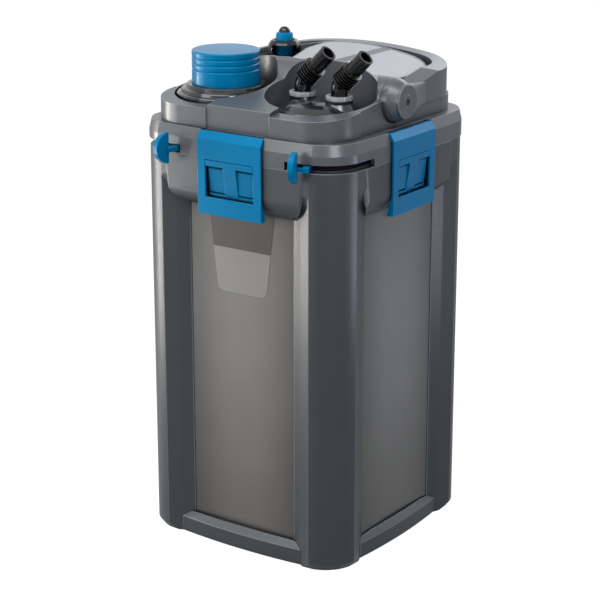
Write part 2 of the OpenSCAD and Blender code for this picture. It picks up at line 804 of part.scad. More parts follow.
module inlet_duct() {
    a = atan2(con[1] - pre[1], con[0] - pre[0]);
    l = norm(con - pre);
    color("#4a4d50") difference() {
        translate([pre[0], pre[1], duct_z]) rotate([0, 0, a]) rotate([0, 90, 0]) difference() {
            cylinder(h = l, r = duct_r);
            translate([0, 0, -1]) cylinder(h = l + 2, r = duct_r - 1.5);
        }
        translate([pre[0], pre[1], duct_z - 20]) cylinder(h = 40, r = tube_r + 0.3);
        translate([con[0], con[1], duct_z - 20]) cylinder(h = 40, r = socket_r + 0.3);
    }
}

spigot_r = 11;
module at_nozzles() {
    for (s = [-1, 1]) translate([con[0] + s * nozzle_pitch / 2, con[1], 0]) children();
}

module connector_socket() {
    color("#3a3d40") difference() {
        translate([con[0], con[1], duct_z - duct_r - 4]) cylinder(h = con_z - gap - duct_z + duct_r + 4, r = socket_r, $fn = 96);
        at_nozzles() translate([0, 0, duct_z - duct_r]) cylinder(h = 200, r = spigot_r + gap);
        translate([pump[0], pump[1], duct_z]) rotate([0, 0, pump_duct_angle()]) rotate([0, 90, 0])
            cylinder(h = norm(con - pump) - 12, r = duct_r - 1.5);
        translate([pre[0], pre[1], duct_z]) rotate([0, 0, atan2(con[1] - pre[1], con[0] - pre[0])]) rotate([0, 90, 0])
            cylinder(h = norm(con - pre) - 24, r = duct_r - 1.5);
    }
}

module connector_body() {
    r = con_disk_r;
    dome = [[0, 0], [r - 1, 0], [r, 1], [r, 4.6], [r - 1.4, 6], [r - 5, 6], [r - 6.5, 7.2], [r - 12, 10.5],
        [r - 20, 13], [r - 30, 14.6], [0, 15.4]];
    color(dark) difference() {
        union() {
            translate([con[0], con[1], con_z]) rotate_extrude($fn = 120) polygon(dome);
            at_nozzles() translate([0, 0, con_z]) cylinder(h = 17, r = 14.6);
            at_nozzles() translate([0, 0, con_z + 7]) cylinder(h = 6.5, r1 = 20, r2 = 14.6);
            at_nozzles() translate([0, 0, con_z - 26]) cylinder(h = 27, r = spigot_r);
        }
        at_nozzles() translate([0, 0, con_z - 30]) cylinder(h = 60, r = nozzle_bore_r);
        at_nozzles() translate([0, 0, con_z + 6]) cylinder(h = 30, r = nozzle_r + 0.1);
        at_nozzles() for (k = [0, 1]) translate([0, 0, con_z - 22 + 9 * k]) ring(spigot_r + 1, spigot_r - 1.6, 3);
    }
}

module connector_seals() {
    color("#1a1a1b") at_nozzles() for (k = [0, 1]) translate([0, 0, con_z - 21.9 + 9 * k])
        ring(spigot_r + 0.25, spigot_r - 1.5, 2.8);
}

// Threaded collar that clamps a nozzle, with grip ribs round it.
module union_rings() {
    h = ring_top - con_z - 10;
    color("#8b9094") difference() {
        at_nozzles() translate([0, 0, con_z + 17.2]) {
            cylinder(h = ring_top - con_z - 17.2, r = 14);
            for (k = [0:11]) rotate([0, 0, 30 * k]) translate([13.9, 0, 0])
                cylinder(h = ring_top - con_z - 17.2, r = 0.9, $fn = 16);
        }
        at_nozzles() translate([0, 0, con_z]) cylinder(h = 40, r = nozzle_r + 0.5);
    }
}

// Hose nozzle: an upright foot, a curved elbow, flexible ribs and a plain branch for the hose.
elbow_r = 11;
elbow_t = elbow_r * tan(branch_tilt / 2);
elbow_step = 0.3;        // the elbow is this much slimmer than the foot and the branch
module nozzle_path(r, elbow, foot_z, extra) {
    lap = 0.6;
    translate([0, 0, foot_z]) cylinder(h = bend_z - elbow_t - foot_z + lap, r = r);
    translate([elbow_r, 0, bend_z - elbow_t]) rotate([90, 0, 0]) rotate([0, 0, 180 - branch_tilt])
        rotate_extrude(angle = branch_tilt) translate([elbow_r, 0]) circle(r = elbow);
    translate([0, 0, bend_z]) rotate([0, branch_tilt, 0]) translate([0, 0, elbow_t - lap])
        cylinder(h = branch_len - elbow_t + lap + extra, r = r);
}

module nozzle(s) {
    foot_z = con_z + 7;
    rib_r = nozzle_r + 3.2;
    pitch = 3.4;
    translate([con[0] + s * nozzle_pitch / 2, con[1], 0]) difference() {
        union() {
            nozzle_path(nozzle_r, nozzle_r - elbow_step, foot_z, 0);
            translate([0, 0, bend_z]) rotate([0, branch_tilt, 0])
                for (k = [0:rib_count - 1]) translate([0, 0, 5.5 + pitch * k])
                    rotate_extrude() polygon([[0, 0], [nozzle_r - 1, 0], [rib_r, 0.4], [rib_r, 1.4],
                        [nozzle_r - 1, 1.9], [0, 1.9]]);
        }
        nozzle_path(nozzle_bore_r, nozzle_bore_r + elbow_step, foot_z - 1, 1);
    }
}

module nozzle_in() { color("#16181a") nozzle(-1); }
module nozzle_out() { color("#16181a") nozzle(1); }

// Lock lever: a ring round a collar, an arm out through the slot and an upright grip.
fin_t = 6;
module lever(centre, r_in, arm_a, fin_a, fin_r) {
    root = fin_r - fin_d;
    color(blue) translate([centre[0], centre[1], lever_z]) {
        ring(r_in + 7, r_in, lever_t);
        rotate([0, 0, arm_a - 90]) translate([r_in + 3, -3.5, 0]) cube([root + 3.4 - r_in - 3, 7, lever_t]);
        difference() {
            translate([0, 0, 0.4]) ring(root + 2.9, root + 0.8, lever_t - 0.8);
            rotate([0, 0, arm_a - 90]) translate([-300, 3, -1]) cube([600, 300, 20]);
            rotate([0, 0, arm_a - 90]) translate([-300, -300, -1]) cube([300, 600, 20]);
            rotate([0, 0, fin_a - 90]) translate([-300, -300, -1]) cube([600, 301, 20]);
        }
        rotate([0, 0, fin_a - 90]) translate([root, 0, lever_t / 2 + 1.8]) fin();
    }
}

// Upright D-shaped grip with shallow grooves on both broad sides; its straight edge is inward.
module fin() {
    flat = 3.5;
    sag = fin_d - flat;
    r = (fin_h * fin_h / 4 + sag * sag) / (2 * sag);
    difference() {
        rotate([90, 0, 0]) linear_extrude(fin_t, center = true) intersection() {
            translate([0, -fin_h / 2]) square([fin_d, fin_h]);
            translate([fin_d - r, 0]) circle(r = r, $fn = 96);
        }
        for (s = [-1, 1], k = [0:2]) translate([fin_d * (0.3 + 0.2 * k), s * (fin_t / 2 + 0.5), -fin_h / 2 - 1])
            cylinder(h = fin_h + 2, r = 1, $fn = 16);
    }
}

fin_gap = 6.2;           // how far the grips stand in front of the skirt
con_arm = 25.5;
con_fin = 18.6;
con_fin_r = (hy + con[1] + fin_gap) / cos(con_fin) + fin_d;
pre_arm = -9;
pre_fin = -10.5;
pre_fin_r = (hy + pre[1] + fin_gap + 1.5) / cos(pre_fin) + fin_d;
module connector_lever() { lever(con, socket_r + 0.6, con_arm, con_fin, con_fin_r); }
module prefilter_lever() { lever(pre, tube_r + 0.6, pre_arm, pre_fin, pre_fin_r); }

// ---------- prefilter ----------

module prefilter_tube() {
    color("#3a3d40") translate([pre[0], pre[1], 0]) difference() {
        translate([0, 0, tube_bottom]) cylinder(h = tube_top - tube_bottom, r = tube_r, $fn = 96);
        translate([0, 0, tube_bottom + 3]) cylinder(h = tube_top, r = tube_r - tube_wall, $fn = 96);
        for (k = [0:7]) rotate([0, 0, 45 * k + 20]) translate([tube_r - 8, -4, tube_bottom + 12]) cube([12, 8, 50]);
    }
}

module prefilter_lid() {
    step = [[0, tube_top + 0.3], [tube_r + 1, tube_top + 0.3], [lid_r - 1, lid_z - 15], [lid_r, lid_z - 13],
        [lid_r, lid_z - 10.5], [lid_r - 1, lid_z - 9.5], [lid_r - 4.5, lid_z - 8.5], [lid_r - 5, lid_z - 6],
        [lid_r - 6, lid_z - 5], [lid_r - 10, lid_z - 4], [lid_r - 11, lid_z - 0.8], [lid_r - 12, lid_z], [0, lid_z]];
    color(dark) translate([pre[0], pre[1], 0]) difference() {
        rotate_extrude($fn = 120) polygon(step);
        translate([0, 0, lid_floor]) cylinder(h = 60, r = cap_r + 0.5, $fn = 96);
    }
}

module prefilter_cage() {
    bottom = lid_z - cage_len - 20;
    color("#4a4d50") translate([pre[0], pre[1], 0]) difference() {
        translate([0, 0, bottom]) cylinder(h = tube_top - bottom, r = cage_r, $fn = 96);
        translate([0, 0, bottom + 3]) cylinder(h = tube_top, r = cage_r - 2, $fn = 96);
        for (k = [0:7]) rotate([0, 0, 45 * k]) translate([cage_r - 8, -10, bottom + 12]) cube([16, 20, cage_len - 60]);
    }
}

module prefilter_foam() {
    bottom = lid_z - cage_len - 16.6;
    color("#2f7fc0") translate([pre[0], pre[1], bottom]) ring(cage_r - 2.5, 12, cage_len - 40);
}

module prefilter_seal() {
    color("#1a1a1b") translate([pre[0], pre[1], tube_top - 12]) ring(tube_r - tube_wall - 0.3, cage_r + 0.3, 3);
}

// Primer cap: a cup with grip grooves that dips into the lid when pressed.
module primer_cap() {
    r = cap_r;
    bottom = lid_z - 3;
    top = lid_z + cap_h;
    g = 0.9;
    side = [[0, bottom], [r - 1.5, bottom], [r, bottom + 1.5], [r, top - 21.5], [r - g, top - 20.3], [r, top - 19.1],
        [r, top - 14.8], [r - g, top - 13.6], [r, top - 12.4], [r, top - 8.4], [r - g, top - 7.2], [r, top - 6],
        [r, top - 1.6], [r - 0.6, top - 0.5], [r - 1.8, top], [0, top + 0.6]];
    color(blue) translate([pre[0], pre[1], 0]) difference() {
        rotate_extrude($fn = 120) polygon(side);
        translate([0, 0, bottom - 1]) cylinder(h = cap_h, r = r - 3);
    }
}

module primer_spring() {
    color("#b9bdc2") translate([pre[0], pre[1], lid_floor + 0.3])
        ring(14, 12, lid_z + cap_h - 4 - lid_floor - 0.6);
}

// ---------- heater ----------

module heater_shroud() {
    h = shroud_z - pocket_floor;
    r = shroud_r;
    side = [[0, 0], [r, 0], [r, h * 0.78], [r - 0.5, h * 0.86], [r - 2, h * 0.94], [r - 4.4, h], [0, h]];
    color("#26292b") translate([heat[0], heat[1], pocket_floor + 0.3]) difference() {
        rotate_extrude($fn = 96) polygon(side);
        translate([0, 0, h - 17]) cylinder(h = 20, r = 12);
        rotate([0, 0, 35]) intersection() {
            translate([-14, -30, h - 17]) cube([28, 30, 12.4]);
            cylinder(h = 60, r = 30);
        }
    }
}

module heater_scale() {
    h = shroud_z - pocket_floor;
    color(blue) translate([heat[0], heat[1], pocket_floor + 0.3 + h - 16.8]) {
        cylinder(h = 12.6, r = 9.2);
        for (k = [0:17]) rotate([0, 0, 20 * k]) translate([9.2, 0, 0]) cylinder(h = 12.6, r = 0.7, $fn = 16);
    }
}

// Ribbed knob that narrows to its black crown.
module heater_knob() {
    z = shroud_z - 3.4;
    color(blue) translate([heat[0], heat[1], z]) {
        rotate_extrude() polygon([[0, 0], [10.4, 0], [10.8, 1], [10.4, 5], [9.4, 9], [8.2, 11.6], [6.9, 12.4],
            [0, 12.4]]);
        for (k = [0:15]) rotate([0, 0, 22.5 * k]) translate([10.1, 0, 0]) rotate([0, -9, 0])
            cylinder(h = 11.6, r = 1, $fn = 16);
    }
}

module heater_cap() {
    color("#111214") translate([heat[0], heat[1], shroud_z + 9.2]) rotate_extrude()
        polygon(concat([[0, 0]], [for (p = arc(1, 0, 90, 8)) [6.6 * p[0], 6.2 * p[1]]]));
}

module heater_rod() {
    color("#c7cacc") translate([heat[0], heat[1], basket_z0 + 40])
        cylinder(h = pocket_floor - basket_z0 - 40, r = heater_r);
}

// ---------- handle ----------

module handle_plan() {
    difference() {
        translate([0, (handle_y - hy) / 2]) square_round(handle_half, (handle_y + hy) / 2, handle_r);
        translate([0, (handle_y - handle_t - hy) / 2])
            square_round(handle_half - handle_t, (handle_y - handle_t + hy) / 2, handle_r - handle_t);
    }
}

module square_round(half_x, half_y, r) {
    translate([r - half_x, -half_y]) square([2 * (half_x - r), 2 * half_y]);
    translate([-half_x, r - half_y]) square([2 * half_x, 2 * (half_y - r)]);
    for (sx = [-1, 1], sy = [-1, 1]) translate([sx * (half_x - r), sy * (half_y - r)]) circle(r = r, $fn = 96);
}

module pivot_cyl(s, x, l, r) {
    mirror([s < 0 ? 1 : 0, 0, 0]) translate([x, pivot_y, pivot_z]) rotate([0, 90, 0]) cylinder(h = l, r = r);
}

// Everything under a plane that falls to one side and rises to the rear, which forms an arm's top.
module under_arm_top(s) {
    translate([s * 110, 25, pivot_z + 14.8]) rotate([10.8, s * 18.3, 0])
        translate([-300, -300, -200]) cube([600, 600, 200]);
}

// Pivot eye of the handle: it narrows from the hub's radius to a flat disk.
module eye(s) {
    l = disk_x - hub_x - gap;
    r = pivot_disk_r;
    mirror([s < 0 ? 1 : 0, 0, 0]) translate([hub_x + gap, pivot_y, pivot_z]) rotate([0, 90, 0])
        rotate_extrude($fn = 96) polygon([[0, 0], [hub_r - 0.8, 0], [hub_r, 0.8], [hub_r, 4], [hub_r - 0.7, 8],
            [hub_r - 2.2, 12], [r + 1.8, 15.6], [r + 0.9, 17], [r + 0.9, l - 0.8], [r, l], [0, l]]);
}

module handle() {
    color(dark) difference() {
        union() {
            difference() {
                intersection() {
                    translate([0, 0, shelf_z + gap]) linear_extrude(80) handle_plan();
                    translate([-hx, pivot_y, 0]) cube([body_w, body_d, crown_z + 50]);
                    translate([0, hy, crown_z - 1.3 - grip_crown_r]) rotate([90, 0, 0])
                        cylinder(h = body_d, r = grip_crown_r, $fn = fine);
                    under_arm_top(1);
                    under_arm_top(-1);
                }
                for (s = [-1, 1]) pivot_cyl(s, rear_hx, hub_x + gap - rear_hx, hub_r + 1);
                for (s = [-1, 1]) pivot_cyl(s, rear_hx, 40, hub_r - 3);
            }
            for (s = [-1, 1]) eye(s);
            for (s = [-1, 1]) mirror([s < 0 ? 1 : 0, 0, 0]) hull() {
                translate([handle_half - 2.5, pivot_y, pivot_z]) rotate([0, 90, 0])
                    cylinder(h = disk_x - handle_half + 1.2, r = pivot_disk_r, $fn = 32);
                translate([handle_half - 2.5, pivot_y + 54, shelf_z + gap]) cube([2.5 - eps, 4, 22]);
            }
        }
        for (s = [-1, 1]) pivot_cyl(s, rear_hx, disk_x - 3 - rear_hx, pivot_pin_r + fit);
        for (s = [-1, 1]) keyhole(s);
    }
}

module keyhole(s) {
    mirror([s < 0 ? 1 : 0, 0, 0]) translate([disk_x - 2, pivot_y, pivot_z]) rotate([0, 90, 0]) {
        translate([-1.4, 0, 0]) cylinder(h = 5, r = 2.4, $fn = 32);
        translate([-1.4, -1.3, 0]) cube([6, 2.6, 5]);
    }
}

module pivot_pins() {
    color("#a9adb1") for (s = [-1, 1]) pivot_cyl(s, pin_x, disk_x - 3.4 - pin_x, pivot_pin_r);
}

// ---------- latches ----------

module latch_pins() {
    color("#a9adb1") for (i = [0:3]) latch_bore(i, latch_pin_r, latch_w + 11);
}

// Side view of the latch plate, outward to the left, pivot at the origin.
module latch_side() {
    out = latch_in + plate_out;
    polygon([[-1.5, 3.6], [-3.4, 3.6], [-out, -4.2], [0.8 - out, -latch_drop], [3 - out, -latch_drop],
        [latch_t - out + 0.4, -latch_drop + 9], [latch_t - out, -5.4], [-3.4, -4], [0, -3.4]]);
    circle(r = knuckle_r, $fn = 48);
}

// Side view of the wall along each edge of the plate, which deepens where the belly rolls in.
module latch_flange() {
    out = latch_in + plate_out;
    polygon([[0.8 - out, -latch_drop], [9 - out, -latch_drop], [8 - out, -latch_drop + 6],
        [5.6 - out, -latch_drop + 13], [latch_t - out, -latch_drop + 22], [1 - out, -latch_drop + 22]]);
}

module latch(i) {
    half = face_half(i);
    win_h = window_top - window_bot;
    color(blue) on_face(i) translate([0, latch_in - half, latch_z]) difference() {
        union() {
            rotate([90, 0, 90]) linear_extrude(latch_w, center = true) latch_side();
            for (s = [-1, 1]) translate([s * (latch_w / 2 - 1.1), 0, 0]) rotate([90, 0, 90])
                linear_extrude(2.2, center = true) latch_flange();
            for (s = [-1, 1]) translate([s * (window_w / 2 + 2.6), -latch_in - link_out, link_z - latch_z])
                rotate([0, 90, 0]) cylinder(h = 4, r = 2.8, center = true, $fn = 32);
        }
        translate([-window_w / 2, -20, window_bot - latch_z]) cube([window_w, 30, win_h]);
        rotate([0, 90, 0]) cylinder(h = latch_w + 2, r = latch_pin_r + fit, center = true, $fn = 32);
        translate([0, -latch_in - link_out, link_z - latch_z]) rotate([0, 90, 0])
            cylinder(h = window_w + 10, r = 1.5 + fit, center = true, $fn = 32);
    }
}

// Link in the window: a flush head and middle bar that lean in toward the bottom, two grips
// set behind them, and the hook that holds the collar's bar.
module link(i) {
    w = window_w / 2 - 0.7;
    bot = window_bot + 1.2 - link_z;
    face = plate_out - link_out - 0.2;
    lean = 6;
    color(blue) on_face(i) translate([0, -face_half(i) - link_out, link_z]) {
        rotate([0, 90, 0]) cylinder(h = window_w + 9, r = 1.5, center = true, $fn = 32);
        rotate([90, 0, 90]) linear_extrude(2 * w, center = true) {
            circle(r = 2.3, $fn = 32);
            polygon([[0, 2.2], [-face, 2.2], [-face, -1], [lean * 0.08 - face, -4.2], [2 - face, -4.2], [0, -2]]);
        }
        rotate([90, 0, 90]) linear_extrude(17, center = true)
            polygon([[-face, -1], [lean - face, bot], [lean + 1.8 - face, bot], [1.8 - face, -1]]);
        for (s = [-1, 1]) translate([s * (w + 6) / 2, 0, 0]) rotate([90, 0, 90])
            linear_extrude(w - 10, center = true) polygon([[0.2, -7.6], [3.2, bot + 4.6], [4.4, bot + 3.4],
                [4.9, bot + 3.4], [4.9, bot + 6], [1.7, -6.4], [0.8, -6.4]]);
        translate([-w + 2, lean - face, bot]) cube([2 * w - 4, 9.2 - lean + face, 2.4]);
    }
}

module latch_front() { latch(0); }
module latch_right() { latch(1); }
module latch_back() { latch(2); }
module latch_left() { latch(3); }
module link_front() { link(0); }
module link_right() { link(1); }
module link_back() { link(2); }
module link_left() { link(3); }

tank();
outer_frame();
base_tray();
foot_pads();
basket_1();
basket_2();
basket_3();
basket_4();
foam_coarse();
foam_fine();
bio_media();
head_seal();
head_floor();
head_base();
head_cover();
pump_cover_left();
pump_cover_right();
pump_cover_strip();
pump_housing();
intake_plate();
pump_stator();
impeller();
rotor_magnet();
pump_shaft();
shaft_bushes();
outlet_duct();
inlet_duct();
connector_socket();
connector_body();
connector_seals();
union_rings();
nozzle_out();
nozzle_in();
connector_lever();
prefilter_tube();
prefilter_lid();
prefilter_cage();
prefilter_foam();
prefilter_seal();
primer_cap();
primer_spring();
prefilter_lever();
heater_shroud();
heater_scale();
heater_knob();
heater_cap();
heater_rod();
handle();
pivot_pins();
latch_pins();
latch_front();
latch_right();
latch_back();
latch_left();
link_front();
link_right();
link_back();
link_left();
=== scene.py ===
import json
import math
import random
from itertools import product

import bmesh
import bpy
from bpy.props import FloatProperty, FloatVectorProperty, IntProperty, PointerProperty
from bpy.types import Operator, Panel, PropertyGroup
from mathutils import Matrix, Vector

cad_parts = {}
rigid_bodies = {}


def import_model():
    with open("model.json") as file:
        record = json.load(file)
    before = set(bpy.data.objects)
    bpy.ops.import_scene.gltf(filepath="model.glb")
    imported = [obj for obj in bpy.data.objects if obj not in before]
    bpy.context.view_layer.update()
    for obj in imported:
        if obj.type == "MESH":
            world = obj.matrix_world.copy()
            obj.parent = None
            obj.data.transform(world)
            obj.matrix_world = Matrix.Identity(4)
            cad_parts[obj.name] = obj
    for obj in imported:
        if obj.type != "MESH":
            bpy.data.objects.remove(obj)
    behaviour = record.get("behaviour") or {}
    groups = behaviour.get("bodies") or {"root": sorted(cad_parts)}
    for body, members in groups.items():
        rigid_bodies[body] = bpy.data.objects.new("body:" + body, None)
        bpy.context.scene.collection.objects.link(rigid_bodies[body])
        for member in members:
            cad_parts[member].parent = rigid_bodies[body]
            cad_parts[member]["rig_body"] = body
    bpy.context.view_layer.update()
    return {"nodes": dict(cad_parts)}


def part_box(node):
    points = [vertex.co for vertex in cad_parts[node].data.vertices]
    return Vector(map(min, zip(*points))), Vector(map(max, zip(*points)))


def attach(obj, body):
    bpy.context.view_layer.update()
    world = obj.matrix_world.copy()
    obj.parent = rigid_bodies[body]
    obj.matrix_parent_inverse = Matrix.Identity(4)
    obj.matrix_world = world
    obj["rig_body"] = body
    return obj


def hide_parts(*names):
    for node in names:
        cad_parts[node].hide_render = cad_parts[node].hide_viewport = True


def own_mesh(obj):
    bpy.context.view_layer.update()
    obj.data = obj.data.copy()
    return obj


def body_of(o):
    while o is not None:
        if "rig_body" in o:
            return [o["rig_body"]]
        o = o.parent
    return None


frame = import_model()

bl_info = {
    "name": "Canister filter",
    "version": (1, 0, 0),
    "blender": (4, 5, 0),
    "location": "View3D > Sidebar > Canister",
    "description": "Finishes and fine parts of a canister filter, one button for each group",
    "category": "Object",
}

MM = 0.001
NODES = frame["nodes"]

# Trim of a handle pivot: closed outlines of (radius, height) in millimetres, turned about the pin.
PIVOT_RING = ((5.6, -0.4), (7.6, -0.4), (7.6, 0.1), (7.2, 0.35), (6, 0.35), (5.6, 0.1))
PIVOT_EYE = ((1.7, -1.2), (4.3, -1.2), (4.3, 0.12), (4, 0.3), (2, 0.3), (1.7, 0.12))

FILM_CORNER = 9 * MM        # radius of the film's lower corners
FILM_SUNK = 0.05 * MM       # how far the film's glue side lies in the tank's wall

CLOSED_TURN = 0.06          # share of the primer spring that lies flat at either end
COIL_STEPS = 32             # cuts along one turn of the spring
WIRE_SIDES = 10             # sides of its wire

LONG_TICK, SHORT_TICK, TICK_HALF = 7.5 * MM, 4.5 * MM, 0.45 * MM
TICK_TOP = 1.5 * MM         # from the upper edge of the heater's scale down to its marks
TICK_LOW, TICK_HIGH = 0.55 * MM, 1.2 * MM   # depth of a mark under the scale's widest point

RING_GAP = 4.5 * MM         # mean space between two media rings
RING_SIDES = 12
ROD_ROOM = 34 * MM          # no ring closer to the heater rod's axis
CORNER_ROOM = 22 * MM       # no ring in the basket's corners

FLOOR_HALF = 12.0           # metres
# Softboxes by compass angle from the front (+ toward +X), distance, height, width and length in
# metres, watts and tint. All of them aim at the middle of the filter.
LAMPS = (("key", 4, 0.9, 2.05, 2.4, 1.2, 42, "#fffdfa"),
         ("front", -16, 2.2, 0.7, 0.9, 1.0, 15, "#fff9f2"),
         ("near_left", -50, 0.72, 0.27, 0.24, 0.45, 1.8, "#ffffff"),
         ("near_right", 99, 0.5, 0.28, 0.1, 0.22, 0.5, "#eaf2ff"),
         ("corner", 44, 0.75, 1.75, 0.4, 0.4, 3.5, "#f2f7ff"),
         ("rim_left", -68, 0.9, 0.26, 0.1, 0.48, 4.5, "#fff8f0"),
         ("rim_right", 152, 1.4, 0.7, 0.4, 1.0, 0.8, "#eef4ff"),
         ("band", 54, 1.6, 0.8, 0.6, 0.2, 8, "#eaf2ff"),
         ("back", 178, 1.7, 1.3, 1.6, 0.6, 8, "#eef4ff"))
LAMP_AIM = Vector((0, 0, 0.3))

CAMERA_PLACE = (1.2000, -1.7213, 0.91663)
CAMERA_RIGHT = Vector((0.81815, 0.57501, 0))
CAMERA_BACK = Vector((0.5489, -0.7810, 0.2979))
SENSOR_WIDTH = 36           # millimetres
CLIP_NEAR, CLIP_FAR = 0.05, 60


def linear(code):
    """Linear RGB of an sRGB hex colour."""
    parts = [int(code[i:i + 2], 16) / 255 for i in (1, 3, 5)]
    return tuple(((c + 0.055) / 1.055) ** 2.4 if c > 0.04045 else c / 12.92 for c in parts)


def shade(colour, factor):
    """The colour as RGBA, made lighter or darker by a factor."""
    return tuple(min(1.0, c * factor) for c in colour[:3]) + (1.0,)


# ---------------------------------------------------------------- settings

class ShellSettings(PropertyGroup):
    """Colours of the large mouldings."""
    head: FloatVectorProperty(
        name="Head", description="Grey ABS of the head and the handle",
        subtype="COLOR", size=3, min=0, max=1, default=linear("#4a4e53"))
    post: FloatVectorProperty(
        name="Posts", description="Slate grey ABS of the four posts and the collar",
        subtype="COLOR", size=3, min=0, max=1, default=linear("#2b3136"))
    tank: FloatVectorProperty(
        name="Tank", description="Smoked polypropylene of the tank",
        subtype="COLOR", size=3, min=0, max=1, default=linear("#676664"))
    cover: FloatVectorProperty(
        name="Pump cover", description="Light grey ABS of the two cover panels",
        subtype="COLOR", size=3, min=0, max=1, default=linear("#9da1a6"))


class TrimSettings(PropertyGroup):
    """Colours of the parts a hand works."""
    accent: FloatVectorProperty(
        name="Accent", description="Blue ABS of latches, levers, cap and knob",
        subtype="COLOR", size=3, min=0, max=1, default=linear("#006590"))
    nozzle: FloatVectorProperty(
        name="Nozzle", description="Glossy black of the hose nozzles and the heater shroud",
        subtype="COLOR", size=3, min=0, max=1, default=linear("#0b0c0e"))
    ring: FloatVectorProperty(
        name="Union ring", description="Mid grey of the union rings",
        subtype="COLOR", size=3, min=0, max=1, default=linear("#8b9094"))


class FilmSettings(PropertyGroup):
    """Plain film on the front of the tank."""
    top_half: FloatProperty(
        name="Half width at the top", description="Half width of the film at its upper end",
        unit="LENGTH", default=43.5 * MM, min=20 * MM, max=60 * MM)
    bottom_half: FloatProperty(
        name="Half width at the bottom", description="Half width of the film at its lower end",
        unit="LENGTH", default=32.5 * MM, min=20 * MM, max=60 * MM)
    bottom: FloatProperty(
        name="Lower end", description="Height of the film's lower end above the floor",
        unit="LENGTH", default=300 * MM, min=60 * MM, max=330 * MM)
    top: FloatProperty(
        name="Upper end", description="Height of the film's upper end above the floor",
        unit="LENGTH", default=392 * MM, min=340 * MM, max=395 * MM)
    split: FloatProperty(
        name="Split", description="Height at which the two tones meet",
        unit="LENGTH", default=350 * MM, min=300 * MM, max=385 * MM)
    thickness: FloatProperty(
        name="Thickness", description="Thickness of the film",
        unit="LENGTH", default=0.25 * MM, min=0.1 * MM, max=0.5 * MM)
    upper: FloatVectorProperty(
        name="Upper tone", description="Darker tone of the film",
        subtype="COLOR", size=3, min=0, max=1, default=linear("#2c2b2a"))
    lower: FloatVectorProperty(
        name="Lower tone", description="Paler tone of the film",
        subtype="COLOR", size=3, min=0, max=1, default=linear("#70706e"))


class WorksSettings(PropertyGroup):
    """Sizes of the fine parts that are built here."""
    wire: FloatProperty(
        name="Spring wire", description="Radius of the primer spring's wire",
        unit="LENGTH", default=0.9 * MM, min=0.5 * MM, max=1 * MM)
    coils: IntProperty(
        name="Coils", description="Turns of the primer spring", default=8, min=5, max=12)
    ring_length: FloatProperty(
        name="Media ring", description="Length of a ceramic media ring",
        unit="LENGTH", default=14 * MM, min=8 * MM, max=18 * MM)
    voxel: FloatProperty(
        name="Foam voxel", description="Cell size with which the foam blocks are rounded",
        unit="LENGTH", default=4 * MM, min=2 * MM, max=8 * MM)
    ticks: IntProperty(
        name="Scale ticks", description="Marks round the heater's scale", default=18, min=6, max=36)


class StageSettings(PropertyGroup):
    """Floor, lamps and lens."""
    floor: FloatVectorProperty(
        name="Floor", description="Colour of the floor",
        subtype="COLOR", size=3, min=0, max=1, default=linear("#6e6e6e"))
    sky: FloatProperty(
        name="Sky", description="Strength of the even light from all round",
        default=0.09, min=0, max=1)
    lift: FloatProperty(
        name="Lift", description="How far the floor is lifted toward white where it is seen",
        default=0.97, min=0, max=1)
    mirrored: FloatProperty(
        name="Mirrored floor", description="Share of that lift which a glossy skin mirrors",
        default=0.4, min=0, max=1)
    power: FloatProperty(
        name="Lamp power", description="Factor on every lamp", default=1.0, min=0.1, max=4)
    lens: FloatProperty(
        name="Lens", description="Focal length of the camera in millimetres",
        default=114.67, min=20, max=200)


# ---------------------------------------------------------------- materials

def add(tree, kind, inputs=None, **settings):
    """Adds a node with its settings; each input takes a value or another node's socket."""
    node = tree.nodes.new(kind)
    for key, value in settings.items():
        setattr(node, key, value)
    for name, value in (inputs or {}).items():
        socket = node.inputs[name]
        if isinstance(value, bpy.types.NodeSocket):
            tree.links.new(value, socket)
        else:
            socket.default_value = value
    return node


def new_material(name, **sockets):
    """A material with one Principled shader whose sockets hold what is the same all over."""
    material = bpy.data.materials.new(name)
    material.use_nodes = True
    tree = material.node_tree
    tree.nodes.clear()
    values = {key.replace("_", " "): value for key, value in sockets.items()}
    shader = add(tree, "ShaderNodeBsdfPrincipled", values)
    add(tree, "ShaderNodeOutputMaterial", {"Surface": shader.outputs[0]})
    material.diffuse_color = tuple(shader.inputs["Base Color"].default_value)
    return material, tree, shader


